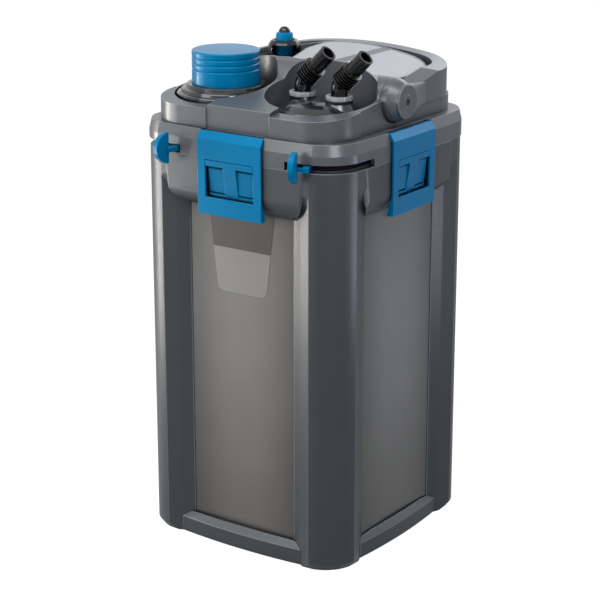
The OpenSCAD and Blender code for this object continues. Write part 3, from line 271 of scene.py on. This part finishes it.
def moulded(name, colour, rough, grain_mm, depth_mm, cloud=0.06, stretch=(1, 1, 1), edge_mm=0.6,
            edge_highlight_gain=1.9, seam_shade_tone=0.12, **sockets):
    """Moulded plastic: soft clouds in the colour, a grain in the gloss, rounded edges with a
    painted highlight, and painted shade in its seams.

    The grain has a size and a relief in millimetres, cloud is the share by which the colour
    wanders, the edge gain says how much paler the painted edge highlight is, the seam tone what
    share of its colour a deep seam keeps under the painted shade.
    Grains of 2 mm and less are coarser than the real tool leaves them, so that they show.
    """
    material, tree, shader = new_material(name, Base_Color=shade(colour, 1), **sockets)
    place = add(tree, "ShaderNodeTexCoord").outputs["Object"]
    # Clouds of 70 mm, as a large wall shows them where the melt has flowed.
    clouds = add(tree, "ShaderNodeTexNoise",
                 {"Vector": place, "Scale": 1 / (70 * MM), "Detail": 3.0})
    tone = add(tree, "ShaderNodeValToRGB", {"Fac": clouds.outputs[0]})
    dark, pale = tone.color_ramp.elements
    dark.position, dark.color = 0.3, shade(colour, 1 - cloud)
    pale.position, pale.color = 0.7, shade(colour, 1 + cloud)

    spread = add(tree, "ShaderNodeMapping", {"Vector": place, "Scale": stretch})
    grain = add(tree, "ShaderNodeTexNoise", {
        "Vector": spread.outputs[0], "Scale": 1 / (grain_mm * MM),
        "Detail": 4.0, "Roughness": 0.6})
    gloss = add(tree, "ShaderNodeMapRange", {
        "Value": grain.outputs[0], "From Min": 0.25, "From Max": 0.75,
        "To Min": rough * 0.86, "To Max": min(1.0, rough * 1.16)})
    tree.links.new(gloss.outputs[0], shader.inputs["Roughness"])

    # Painted highlight on the edges: a little paler where the rounded normal turns away from the
    # flat one.
    rounded = add(tree, "ShaderNodeBevel", {"Radius": edge_mm * MM}, samples=6)
    flat = add(tree, "ShaderNodeNewGeometry").outputs["Normal"]
    turned = add(tree, "ShaderNodeVectorMath", {0: rounded.outputs[0], 1: flat},
                 operation="DOT_PRODUCT")
    painted_edge_highlight = add(tree, "ShaderNodeMapRange", {
        "Value": turned.outputs["Value"], "From Min": 0.996, "From Max": 0.93,
        "To Min": 1.0, "To Max": edge_highlight_gain})
    # Painted shade in the seams and hollows, up to 9 mm wide.
    seam = add(tree, "ShaderNodeAmbientOcclusion", {"Distance": 9 * MM}, samples=6)
    painted_seam_shade = add(tree, "ShaderNodeMapRange", {
        "Value": seam.outputs["AO"], "From Min": 0.35, "From Max": 0.92,
        "To Min": seam_shade_tone, "To Max": 1.0})
    # The painted edge highlight and the painted seam shade together scale the colour.
    painted_light_factor = add(tree, "ShaderNodeMath", {0: painted_edge_highlight.outputs[0], 1: painted_seam_shade.outputs[0]},
               operation="MULTIPLY")
    painted_light_colour = add(tree, "ShaderNodeVectorMath", {0: tone.outputs[0], "Scale": painted_light_factor.outputs[0]},
               operation="SCALE")
    tree.links.new(painted_light_colour.outputs[0], shader.inputs["Base Color"])

    relief = rounded
    if depth_mm:
        relief = add(tree, "ShaderNodeBump", {
            "Height": grain.outputs[0], "Strength": 1.0, "Distance": depth_mm * MM,
            "Normal": rounded.outputs[0]})
    tree.links.new(relief.outputs[0], shader.inputs["Normal"])
    return material


def smoked_with_painted_shading(name, colour):
    """Smoke-tinted wall with painted light and shade: lighter amid each face, painted shade toward
    the corners and the foot.
    """
    material = moulded(name, colour, 0.24, 60.0, 0.0, cloud=0.05, edge_mm=0.0)
    tree = material.node_tree
    shader = next(n for n in tree.nodes if n.type == "BSDF_PRINCIPLED")
    tone = shader.inputs["Base Color"].links[0].from_socket
    place = add(tree, "ShaderNodeTexCoord").outputs["Object"]
    split = add(tree, "ShaderNodeSeparateXYZ", {0: place})
    # On a wall, the smaller of |x| and |y| is the distance from that wall's middle line.
    across = [add(tree, "ShaderNodeMath", {0: split.outputs[i]}, operation="ABSOLUTE").outputs[0]
              for i in (0, 1)]
    aside = add(tree, "ShaderNodeMath", {0: across[0], 1: across[1]}, operation="MINIMUM")
    # Painted light amid each face and painted shade toward its corners.
    side = add(tree, "ShaderNodeMapRange", {
        "Value": aside.outputs[0], "From Min": 10 * MM, "From Max": 105 * MM,
        "To Min": 1.12, "To Max": 0.36}, interpolation_type="SMOOTHSTEP")
    # Painted shade toward the foot of the tank.
    foot = add(tree, "ShaderNodeMapRange", {
        "Value": split.outputs[2], "From Min": 20 * MM, "From Max": 260 * MM,
        "To Min": 0.62, "To Max": 1.0}, interpolation_type="SMOOTHSTEP")
    painted_shading = add(tree, "ShaderNodeMath", {0: side.outputs[0], 1: foot.outputs[0]},
                operation="MULTIPLY")
    painted_shading_tone = add(tree, "ShaderNodeVectorMath", {0: tone, "Scale": painted_shading.outputs[0]},
                 operation="SCALE")
    tree.links.new(painted_shading_tone.outputs[0], shader.inputs["Base Color"])
    return material


def open_cell_foam(name, colour, cell_mm):
    """Polyurethane foam, cut: round open cells with painted shade in their hollows and painted
    light on their webs, and no gloss.
    """
    material, tree, shader = new_material(
        name, Base_Color=shade(colour, 1), Roughness=0.95, Specular_IOR_Level=0.2,
        Sheen_Weight=0.25)
    place = add(tree, "ShaderNodeTexCoord").outputs["Object"]
    cells = add(tree, "ShaderNodeTexVoronoi", {"Vector": place, "Scale": 1 / (cell_mm * MM)})
    # Painted shade in the cells' hollows, painted light on the webs between them.
    tone = add(tree, "ShaderNodeValToRGB", {"Fac": cells.outputs["Distance"]})
    shaded_hollow, lit_web = tone.color_ramp.elements
    shaded_hollow.color = shade(colour, 0.35)
    lit_web.position, lit_web.color = 0.6, shade(colour, 1.25)
    tree.links.new(tone.outputs[0], shader.inputs["Base Color"])
    relief = add(tree, "ShaderNodeBump", {
        "Height": cells.outputs["Distance"], "Distance": 0.4 * cell_mm * MM})
    tree.links.new(relief.outputs[0], shader.inputs["Normal"])
    return material


def drawn_metal(name, colour, rough, line_mm, stretch):
    """Drawn or ground metal: fine lines along one direction that pull the highlight out."""
    material, tree, shader = new_material(name, Base_Color=shade(colour, 1), Metallic=1.0)
    place = add(tree, "ShaderNodeTexCoord").outputs["Object"]
    spread = add(tree, "ShaderNodeMapping", {"Vector": place, "Scale": stretch})
    lines = add(tree, "ShaderNodeTexNoise", {
        "Vector": spread.outputs[0], "Scale": 1 / (line_mm * MM), "Detail": 5.0})
    gloss = add(tree, "ShaderNodeMapRange", {
        "Value": lines.outputs[0], "To Min": rough * 0.7, "To Max": rough * 1.3})
    tree.links.new(gloss.outputs[0], shader.inputs["Roughness"])
    relief = add(tree, "ShaderNodeBump", {"Height": lines.outputs[0], "Distance": 0.02 * MM})
    tree.links.new(relief.outputs[0], shader.inputs["Normal"])
    return material


def make_finishes(context):
    """Every finish of the filter, by a short key."""
    shell, trim = context.scene.filter_shell, context.scene.filter_trim
    film = context.scene.filter_film
    return {
        # ABS, injection moulded on a satin tool: soft broad highlights and a crisp painted
        # highlight on its edges.
        "head": moulded("abs_grey_moulded_satin", shell.head, 0.3, 1.6, 0.005, edge_mm=0.9,
                        edge_highlight_gain=3.0),
        # ABS, injection moulded and lightly grained: duller than the head, with a grain drawn out
        # upward and a strong painted highlight along its long edges.
        "post": moulded("abs_slate_moulded_grained", shell.post, 0.38, 2.0, 0.006,
                        stretch=(1, 1, 0.5), edge_mm=1.5, edge_highlight_gain=6.0),
        # Polypropylene with smoke tint, blow moulded: deep colour under an even, smooth skin, with
        # painted light amid each face and painted shade toward its corners and foot.
        "tank": smoked_with_painted_shading("polypropylene_smoked_moulded", shell.tank),
        # ABS, spark-eroded tool: pale and dry, with a sandy speckle.
        "cover": moulded("abs_light_spark_eroded", shell.cover, 0.5, 0.9, 0.03, cloud=0.03),
        # ABS, plain tool: the dark strip between the panels, a shade glossier than they are.
        "strip": moulded("abs_dark_moulded_plain", linear("#44484c"), 0.34, 1.6, 0.01),
        # ABS in a strong blue, polished tool: clear painted edge highlights, a soft window of light
        # on each face, and only a light painted shade in its hollows, so that they stay blue.
        "blue": moulded("abs_blue_moulded_polished", trim.accent, 0.3, 2.0, 0.012, cloud=0.05,
                        seam_shade_tone=0.6, Specular_IOR_Level=0.35,
                        Specular_Tint=linear("#4fb0f0") + (1.0,)),
        # Black polycarbonate, high-gloss tool: nearly a mirror, it reads by reflections alone.
        "gloss": moulded("polycarbonate_black_polished", trim.nozzle, 0.09, 6.0, 0.004, cloud=0.1,
                         edge_mm=0.4, Specular_IOR_Level=0.4),
        # ABS, polished tool: the lid and the connector's dome, dark with clear reflections.
        "dome": moulded("abs_dark_moulded_polished", linear("#1d2023"), 0.14, 5.0, 0.004,
                        cloud=0.05, Coat_Weight=0.1, Coat_Roughness=0.06),
        # Acetal, moulded: mid grey, slightly waxy, with a soft highlight on each rib.
        "ring": moulded("acetal_grey_moulded_satin", trim.ring, 0.3, 1.2, 0.01),
        # Polypropylene, moulded, inside the housing: black-grey and waxy.
        "inner": moulded("polypropylene_black_moulded", linear("#33363a"), 0.48, 1.5, 0.015),
        # EPDM rubber, moulded: matt, with painted shade in its hollows.
        "rubber": moulded("epdm_rubber_moulded", linear("#1d1e1f"), 0.82, 1.0, 0.04, cloud=0.18),
        # Sintered glass media: chalky and porous.
        "media": moulded("sintered_glass_extruded", linear("#d8d2c4"), 0.9, 0.8, 0.12, cloud=0.12),
        # Alumina ceramic, ground: hard white with a clean glint.
        "ceramic": moulded("alumina_ceramic_ground", linear("#efefe9"), 0.22, 0.6, 0.004,
                           cloud=0.02),
        # Ferrite, sintered and ground: dark, with the dull shine of a pencil stroke.
        "ferrite": moulded("ferrite_magnet_sintered", linear("#35353a"), 0.55, 0.9, 0.02,
                           cloud=0.15),
        # Epoxy, cast round the coil block: black, with a slightly uneven gloss.
        "resin": moulded("epoxy_black_cast", linear("#1b1c1e"), 0.3, 12.0, 0.05, cloud=0.1),
        # Polyurethane foam, cut: 2.5 mm cells in the coarse grade, 1.4 mm in the fine one.
        "foam_blue": open_cell_foam("polyurethane_foam_blue_cut", linear("#2f7fc0"), 2.5),
        "foam_orange": open_cell_foam("polyurethane_foam_orange_cut", linear("#e08a2c"), 1.4),
        # Stainless steel wire, drawn: lines run along the wire.
        "steel": drawn_metal("stainless_steel_drawn", linear("#b9bdc2"), 0.28, 0.3, (1, 1, 0.1)),
        # Titanium sheath, ground round: fine hoops across its length.
        "titanium": drawn_metal("titanium_ground", linear("#a9a7a3"), 0.3, 0.3, (0.1, 0.1, 1)),
        # Polyester film, screen printed: flat tone, satin skin, a crisp cut edge.
        "film_dark": moulded("polyester_film_printed_dark", film.upper, 0.42, 0.8, 0.004,
                             cloud=0.02, edge_mm=0.1),
        "film_pale": moulded("polyester_film_printed_pale", film.lower, 0.4, 0.8, 0.004,
                             cloud=0.02, edge_mm=0.1),
        # Pad-printed ink: opaque white with a soft, even gloss.
        "mark": moulded("pad_print_white", linear("#e8ecee"), 0.5, 0.8, 0.002, cloud=0.02,
                        edge_mm=0.1),
    }


FINISH = {}                 # filled by the first operator


def finish(key, *names):
    """Gives CAD nodes one finish through their own material slots."""
    for name in names:
        node = NODES[name]
        if not node.material_slots:
            node.data.materials.append(None)
        for slot in node.material_slots:
            slot.link = "OBJECT"
            slot.material = FINISH[key]


# ---------------------------------------------------------------- mesh helpers

def piece(name, points, faces, key, body, smooth=True):
    """A mesh object in the frame of the CAD that rides on a body."""
    mesh = bpy.data.meshes.new(name)
    mesh.from_pydata([tuple(p) for p in points], [], faces)
    mesh.validate()
    made = bpy.data.objects.new(name, mesh)
    bpy.context.scene.collection.objects.link(made)
    sheet = bmesh.new()
    sheet.from_mesh(mesh)
    bmesh.ops.recalc_face_normals(sheet, faces=sheet.faces)
    sheet.to_mesh(mesh)
    sheet.free()
    for polygon in mesh.polygons:
        polygon.use_smooth = smooth
    mesh.materials.append(FINISH[key])
    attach(made, body)
    return made


def plate(outline, low, high):
    """Points and faces of a flat plate: (across, up) pairs, from depth low to depth high."""
    n = len(outline)
    points = [(u, low, v) for u, v in outline] + [(u, high, v) for u, v in outline]
    sides = [(i, (i + 1) % n, n + (i + 1) % n, n + i) for i in range(n)]
    return points, sides + [tuple(range(n)), tuple(range(n, 2 * n))]


def lathe(profile, turns, matrix):
    """Points and faces of a closed (radius, height) profile turned about the matrix's axis."""
    n = len(profile)
    points = [matrix @ Vector((r * math.cos(a), r * math.sin(a), h))
              for a in (2 * math.pi * k / turns for k in range(turns)) for r, h in profile]
    faces = [(k * n + i, k * n + (i + 1) % n,
              (k + 1) % turns * n + (i + 1) % n, (k + 1) % turns * n + i)
             for k in range(turns) for i in range(n)]
    return points, faces


def wound_wire(foot, height, radius, wire, coils):
    """Points and faces of a wire wound up from its foot, with the first and last turn closed."""
    steps, sides = coils * COIL_STEPS, WIRE_SIDES
    points = []
    for k in range(steps + 1):
        turn = k / steps
        rise = height * min(max((turn - CLOSED_TURN) / (1 - 2 * CLOSED_TURN), 0), 1)
        a = 2 * math.pi * coils * turn
        out = Vector((math.cos(a), math.sin(a), 0))
        for s in range(sides):
            b = 2 * math.pi * s / sides
            points.append(Vector((foot.x, foot.y, foot.z + wire + rise))
                          + out * (radius + wire * math.cos(b))
                          + Vector((0, 0, wire * math.sin(b))))
    faces = [(k * sides + s, k * sides + (s + 1) % sides,
              (k + 1) * sides + (s + 1) % sides, (k + 1) * sides + s)
             for k in range(steps) for s in range(sides)]
    faces += [tuple(range(sides)), tuple(steps * sides + s for s in range(sides))]
    return points, faces


def joined(parts):
    """Several (points, faces) pairs as one."""
    points, faces = [], []
    for more, shapes in parts:
        start = len(points)
        points += more
        faces += [tuple(start + i for i in f) for f in shapes]
    return points, faces


def round_corner(centre, radius, start, stop, steps=8):
    """Points of an arc, its angles in degrees."""
    angles = [math.radians(start + (stop - start) * k / steps) for k in range(steps + 1)]
    return [(centre[0] + radius * math.cos(a), centre[1] + radius * math.sin(a)) for a in angles]


def soft_copy(node, name, key, voxel, wander, seed):
    """A foam block in the space of a CAD node: remeshed, rounded and a little uneven."""
    made = bpy.data.objects.new(name, NODES[node].data.copy())
    bpy.context.scene.collection.objects.link(made)
    made.data.materials.clear()
    made.data.materials.append(FINISH[key])
    low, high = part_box(node)
    remesh = made.modifiers.new("cells", "REMESH")
    remesh.mode = "VOXEL"
    remesh.voxel_size = voxel
    smooth = made.modifiers.new("round", "SMOOTH")
    smooth.iterations = 3
    shape = made.evaluated_get(bpy.context.evaluated_depsgraph_get())
    mesh = bpy.data.meshes.new_from_object(shape)
    made.modifiers.clear()
    made.data = mesh
    chance = random.Random(seed)
    for vertex in mesh.vertices:
        vertex.co += Vector(chance.uniform(-wander, wander) for _ in range(3))
        vertex.co = Vector(min(max(c, a), b) for c, a, b in zip(vertex.co, low, high))
    for polygon in mesh.polygons:
        polygon.use_smooth = True
    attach(made, body_of(NODES[node])[0])
    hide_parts(node)
    return made


# ---------------------------------------------------------------- operators

class FILTER_OT_finishes(Operator):
    """Mix every finish from the colours in the settings"""
    bl_idname = "filter.finishes"
    bl_label = "Finishes"

    def execute(self, context):
        FINISH.update(make_finishes(context))
        return {"FINISHED"}


class FILTER_OT_canister(Operator):
    """Finish the tank, the posts with their collar, the base tray and the feet"""
    bl_idname = "filter.canister"
    bl_label = "Canister"

    def execute(self, context):
        finish("tank", "tank")
        finish("post", "outer_frame", "base_tray")
        finish("rubber", "foot_pads", "head_seal")
        return {"FINISHED"}


class FILTER_OT_film(Operator):
    """Lay the plain two-tone film on the front of the tank"""
    bl_idname = "filter.film"
    bl_label = "Film"

    def execute(self, context):
        film = context.scene.filter_film
        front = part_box("tank")[0].y
        reach = film.top - film.bottom

        def half(z):
            return film.bottom_half + (film.top_half - film.bottom_half) * (z - film.bottom) / reach

        knee = film.bottom + FILM_CORNER
        corner = round_corner((half(knee) - FILM_CORNER, knee), FILM_CORNER, -90, 0)
        seam = half(film.split)
        lower = [(-x, z) for x, z in reversed(corner)] + corner
        lower += [(seam, film.split), (-seam, film.split)]
        upper = [(-seam, film.split), (seam, film.split),
                 (half(film.top), film.top), (-half(film.top), film.top)]
        for name, outline, key in (("front_film_lower", lower, "film_pale"),
                                   ("front_film_upper", upper, "film_dark")):
            points, faces = plate(outline, front - film.thickness, front + FILM_SUNK)
            piece(name, points, faces, key, "canister", smooth=False)
        return {"FINISHED"}


class FILTER_OT_head(Operator):
    """Finish the head's base, cover and handle and set the trim of the handle's pivots"""
    bl_idname = "filter.head"
    bl_label = "Head and handle"

    def execute(self, context):
        finish("head", "head_base", "head_cover", "handle")
        finish("inner", "head_floor")
        finish("steel", "pivot_pins")
        low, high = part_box("handle")
        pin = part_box("pivot_pins")
        y, z = (pin[0].y + pin[1].y) / 2, (pin[0].z + pin[1].z) / 2
        for side, turn, x in (("left", -1, low.x), ("right", 1, high.x)):
            outward = Matrix.Translation((x, y, z)) @ Matrix.Rotation(
                math.radians(90) * turn, 4, "Y")
            for part, profile, sides, key, slot in (
                    ("pivot_ring_", PIVOT_RING, 48, "head", "head_plastic"),
                    ("pivot_eye_", PIVOT_EYE, 40, "gloss", "gloss_black")):
                points, faces = lathe([(r * MM, h * MM) for r, h in profile], sides, outward)
                piece(part + side, points, faces, key, "handle")
        return {"FINISHED"}


class FILTER_OT_pump_cover(Operator):
    """Finish the two light panels over the pump and the dark strip between them"""
    bl_idname = "filter.pump_cover"
    bl_label = "Pump cover"

    def execute(self, context):
        finish("cover", "pump_cover_left", "pump_cover_right")
        finish("strip", "pump_cover_strip")
        return {"FINISHED"}


class FILTER_OT_latches(Operator):
    """Finish the four latches, their links and their hinge wires"""
    bl_idname = "filter.latches"
    bl_label = "Latches"

    def execute(self, context):
        for face in ("front", "right", "back", "left"):
            finish("blue", "latch_" + face, "link_" + face)
        finish("steel", "latch_pins")
        return {"FINISHED"}


class FILTER_OT_levers(Operator):
    """Finish the two lock levers"""
    bl_idname = "filter.levers"
    bl_label = "Lock levers"

    def execute(self, context):
        finish("blue", "connector_lever", "prefilter_lever")
        return {"FINISHED"}


class FILTER_OT_connector(Operator):
    """Finish the hose connector, its nozzles, rings and seals, and the ducts below it"""
    bl_idname = "filter.connector"
    bl_label = "Hose connector"

    def execute(self, context):
        finish("dome", "connector_body")
        finish("gloss", "nozzle_out", "nozzle_in")
        finish("ring", "union_rings")
        finish("rubber", "connector_seals")
        finish("inner", "connector_socket", "outlet_duct", "inlet_duct")
        return {"FINISHED"}


class FILTER_OT_prefilter(Operator):
    """Finish the prefilter and build its foam sleeve and the primer's wound spring"""
    bl_idname = "filter.prefilter"
    bl_label = "Prefilter and primer"

    def execute(self, context):
        works = context.scene.filter_works
        finish("blue", "primer_cap")
        finish("dome", "prefilter_lid")
        finish("inner", "prefilter_tube", "prefilter_cage")
        finish("rubber", "prefilter_seal")
        soft_copy("prefilter_foam", "prefilter_sleeve", "foam_blue",
                  voxel=works.voxel * 0.8, wander=0.15 * MM, seed=3)
        low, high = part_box("primer_spring")
        middle = (low + high) / 2
        radius = (high.x - low.x) / 2 - works.wire
        height = high.z - low.z - 2 * works.wire
        points, faces = wound_wire(Vector((middle.x, middle.y, low.z)), height, radius,
                                   works.wire, works.coils)
        body = body_of(NODES["primer_spring"])[0]
        spring = piece("primer_coil", points, faces, "steel", body)
        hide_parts("primer_spring")
        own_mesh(spring)
        return {"FINISHED"}


class FILTER_OT_heater(Operator):
    """Finish the heater's shroud, dial and rod and print the marks of its scale"""
    bl_idname = "filter.heater"
    bl_label = "Heater"

    def execute(self, context):
        finish("gloss", "heater_shroud", "heater_cap")
        finish("blue", "heater_scale", "heater_knob")
        finish("titanium", "heater_rod")
        low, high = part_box("heater_scale")
        middle = (low + high) / 2
        radius = (high.x - low.x) / 2
        count = context.scene.filter_works.ticks
        bars = []
        for k in range(count):
            tall = LONG_TICK if k % 3 == 0 else SHORT_TICK
            turn = Matrix.Translation((middle.x, middle.y, high.z - TICK_TOP)) @ Matrix.Rotation(
                2 * math.pi * (k + 0.5) / count, 4, "Z")
            outline = [(-TICK_HALF, -tall), (TICK_HALF, -tall), (TICK_HALF, 0), (-TICK_HALF, 0)]
            points, faces = plate(outline, -radius + TICK_LOW, -radius + TICK_HIGH)
            bars.append(([turn @ Vector(p) for p in points], faces))
        points, faces = joined(bars)
        piece("scale_marks", points, faces, "mark", "canister", smooth=False)
        return {"FINISHED"}


class FILTER_OT_pump(Operator):
    """Finish the pump's housing, coil block, rotor and shaft"""
    bl_idname = "filter.pump"
    bl_label = "Pump"

    def execute(self, context):
        finish("inner", "pump_housing", "intake_plate")
        finish("resin", "pump_stator")
        finish("ceramic", "impeller", "pump_shaft")
        finish("ferrite", "rotor_magnet")
        finish("rubber", "shaft_bushes")
        return {"FINISHED"}


class FILTER_OT_media(Operator):
    """Finish the baskets, round the foam blocks and fill the bottom basket with ceramic rings"""
    bl_idname = "filter.media"
    bl_label = "Baskets and media"

    def execute(self, context):
        works = context.scene.filter_works
        finish("inner", "basket_1", "basket_2", "basket_3", "basket_4")
        soft_copy("foam_coarse", "foam_block_coarse", "foam_blue",
                  voxel=works.voxel, wander=0.2 * MM, seed=1)
        soft_copy("foam_fine", "foam_block_fine", "foam_orange",
                  voxel=works.voxel, wander=0.15 * MM, seed=2)
        low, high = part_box("bio_media")
        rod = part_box("heater_rod")
        axis = (rod[0] + rod[1]) / 2
        length = works.ring_length
        outer, inner = length * 0.5, length * 0.28
        profile = [(inner, -length / 2), (outer, -length / 2),
                   (outer, length / 2), (inner, length / 2)]
        count = [int((b - a - 2 * MM) / (length + RING_GAP)) for a, b in zip(low, high)]
        chance = random.Random(11)
        rings = []
        for step in product(*(range(c) for c in count)):
            at = Vector(a + (b - a) * (n + 0.5) / c for a, b, n, c in zip(low, high, step, count))
            if (Vector((at.x, at.y)) - Vector((axis.x, axis.y))).length < ROD_ROOM:
                continue
            if abs(at.x) > high.x - CORNER_ROOM and abs(at.y) > high.y - CORNER_ROOM:
                continue
            spin = chance.uniform(-0.2, 0.2)
            lean = math.pi / 2 * chance.randint(0, 1) + chance.uniform(-0.15, 0.15)
            tilt = Matrix.Rotation(spin, 4, "Z") @ Matrix.Rotation(lean, 4, chance.choice("XY"))
            rings.append(lathe(profile, RING_SIDES, Matrix.Translation(at) @ tilt))
        points, faces = joined(rings)
        bed = piece("ceramic_rings", points, faces, "media", "canister", smooth=False)
        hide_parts("bio_media")
        return {"FINISHED"}


class FILTER_OT_stage(Operator):
    """Set up the pale floor, the soft lamps, the even world and the camera"""
    bl_idname = "filter.stage"
    bl_label = "Stage"

    @staticmethod
    def seen(tree, gloss):
        """1 for a camera or transmission ray, gloss for a glossy ray and 0 for the rest."""
        path = add(tree, "ShaderNodeLightPath")
        mirrored = add(tree, "ShaderNodeMath", {0: path.outputs["Is Glossy Ray"], 1: gloss},
                       operation="MULTIPLY")
        some = add(tree, "ShaderNodeMath",
                   {0: path.outputs["Is Camera Ray"], 1: mirrored.outputs[0]},
                   operation="MAXIMUM")
        return add(tree, "ShaderNodeMath",
                   {0: some.outputs[0], 1: path.outputs["Is Transmission Ray"]},
                   operation="MAXIMUM").outputs[0]

    def lay_floor(self, scene, stage):
        """Matt paper, lifted to white where it is seen; shadows fall on the grey below that."""
        mesh = bpy.data.meshes.new("floor")
        corners = [(x * FLOOR_HALF, y * FLOOR_HALF, 0)
                   for x, y in ((-1, -1), (1, -1), (1, 1), (-1, 1))]
        mesh.from_pydata(corners, [], [(0, 1, 2, 3)])
        floor = bpy.data.objects.new("floor", mesh)
        scene.collection.objects.link(floor)
        paper, tree, shader = new_material("paper_matt", Base_Color=shade(stage.floor, 1),
                                           Roughness=0.9, Specular_IOR_Level=0.1)
        lift = add(tree, "ShaderNodeMath",
                   {0: self.seen(tree, stage.mirrored), 1: stage.lift}, operation="MULTIPLY")
        shader.inputs["Emission Color"].default_value = (1, 1, 1, 1)
        tree.links.new(lift.outputs[0], shader.inputs["Emission Strength"])
        mesh.materials.append(paper)

    def fill_world(self, scene, stage):
        """Even light from all round, white to the camera and in reflections."""
        world = bpy.data.worlds.new("studio")
        scene.world = world
        world.use_nodes = True
        tree = world.node_tree
        tree.nodes.clear()
        level = add(tree, "ShaderNodeMapRange",
                    {"Value": self.seen(tree, 1.0), "To Min": stage.sky, "To Max": 1.0})
        sky = add(tree, "ShaderNodeBackground",
                  {"Color": (1, 1, 1, 1), "Strength": level.outputs[0]})
        add(tree, "ShaderNodeOutputWorld", {"Surface": sky.outputs[0]})

    def hang_lamps(self, scene, stage):
        """The softboxes of the table, each aimed at the filter and hidden from the camera."""
        for name, angle, reach, height, width, length, power, tint in LAMPS:
            lamp = bpy.data.lights.new(name, "AREA")
            lamp.shape = "RECTANGLE"
            lamp.size, lamp.size_y = width, length
            lamp.energy = power * stage.power
            lamp.color = linear(tint)
            light = bpy.data.objects.new(name, lamp)
            light.visible_camera = False
            scene.collection.objects.link(light)
            light.location = (reach * math.sin(math.radians(angle)),
                              -reach * math.cos(math.radians(angle)), height)
            light.rotation_mode = "QUATERNION"
            light.rotation_quaternion = (LAMP_AIM - light.location).to_track_quat("-Z", "Y")

    def set_camera(self, scene, stage):
        """The camera, looking slightly down on the front and the right side."""
        view = bpy.data.cameras.new("camera")
        view.sensor_width = SENSOR_WIDTH
        view.lens = stage.lens
        view.clip_start, view.clip_end = CLIP_NEAR, CLIP_FAR
        camera = bpy.data.objects.new("camera", view)
        scene.collection.objects.link(camera)
        up = CAMERA_BACK.cross(CAMERA_RIGHT)
        turn = Matrix((CAMERA_RIGHT, up, CAMERA_BACK)).transposed().to_4x4()
        camera.matrix_world = Matrix.Translation(CAMERA_PLACE) @ turn
        scene.camera = camera

    def execute(self, context):
        scene, stage = context.scene, context.scene.filter_stage
        self.lay_floor(scene, stage)
        self.fill_world(scene, stage)
        self.hang_lamps(scene, stage)
        self.set_camera(scene, stage)
        scene.view_settings.view_transform = "Standard"
        return {"FINISHED"}


# ---------------------------------------------------------------- add-on

STEPS = (FILTER_OT_finishes, FILTER_OT_canister, FILTER_OT_film, FILTER_OT_head,
         FILTER_OT_pump_cover, FILTER_OT_latches, FILTER_OT_levers, FILTER_OT_connector,
         FILTER_OT_prefilter, FILTER_OT_heater, FILTER_OT_pump, FILTER_OT_media, FILTER_OT_stage)
SETTINGS = {"filter_shell": ShellSettings, "filter_trim": TrimSettings,
            "filter_film": FilmSettings, "filter_works": WorksSettings,
            "filter_stage": StageSettings}


class FILTER_PT_sidebar(Panel):
    """Settings and buttons of the canister filter"""
    bl_idname = "FILTER_PT_sidebar"
    bl_label = "Canister filter"
    bl_space_type = "VIEW_3D"
    bl_region_type = "UI"
    bl_category = "Canister"

    def draw(self, context):
        for name, group in SETTINGS.items():
            box = self.layout.box()
            box.label(text=group.__doc__)
            for prop in group.__annotations__:
                box.prop(getattr(context.scene, name), prop)
        for step in STEPS:
            self.layout.operator(step.bl_idname)


CLASSES = tuple(SETTINGS.values()) + STEPS + (FILTER_PT_sidebar,)


def register():
    for each in CLASSES:
        bpy.utils.register_class(each)
    for name, group in SETTINGS.items():
        setattr(bpy.types.Scene, name, PointerProperty(type=group))


def unregister():
    for name in SETTINGS:
        delattr(bpy.types.Scene, name)
    for each in reversed(CLASSES):
        bpy.utils.unregister_class(each)


def main():
    register()
    for step in STEPS:
        group, verb = step.bl_idname.split(".")
        getattr(getattr(bpy.ops, group), verb)()
    bpy.context.view_layer.update()


if __name__ == "__main__":
    main()
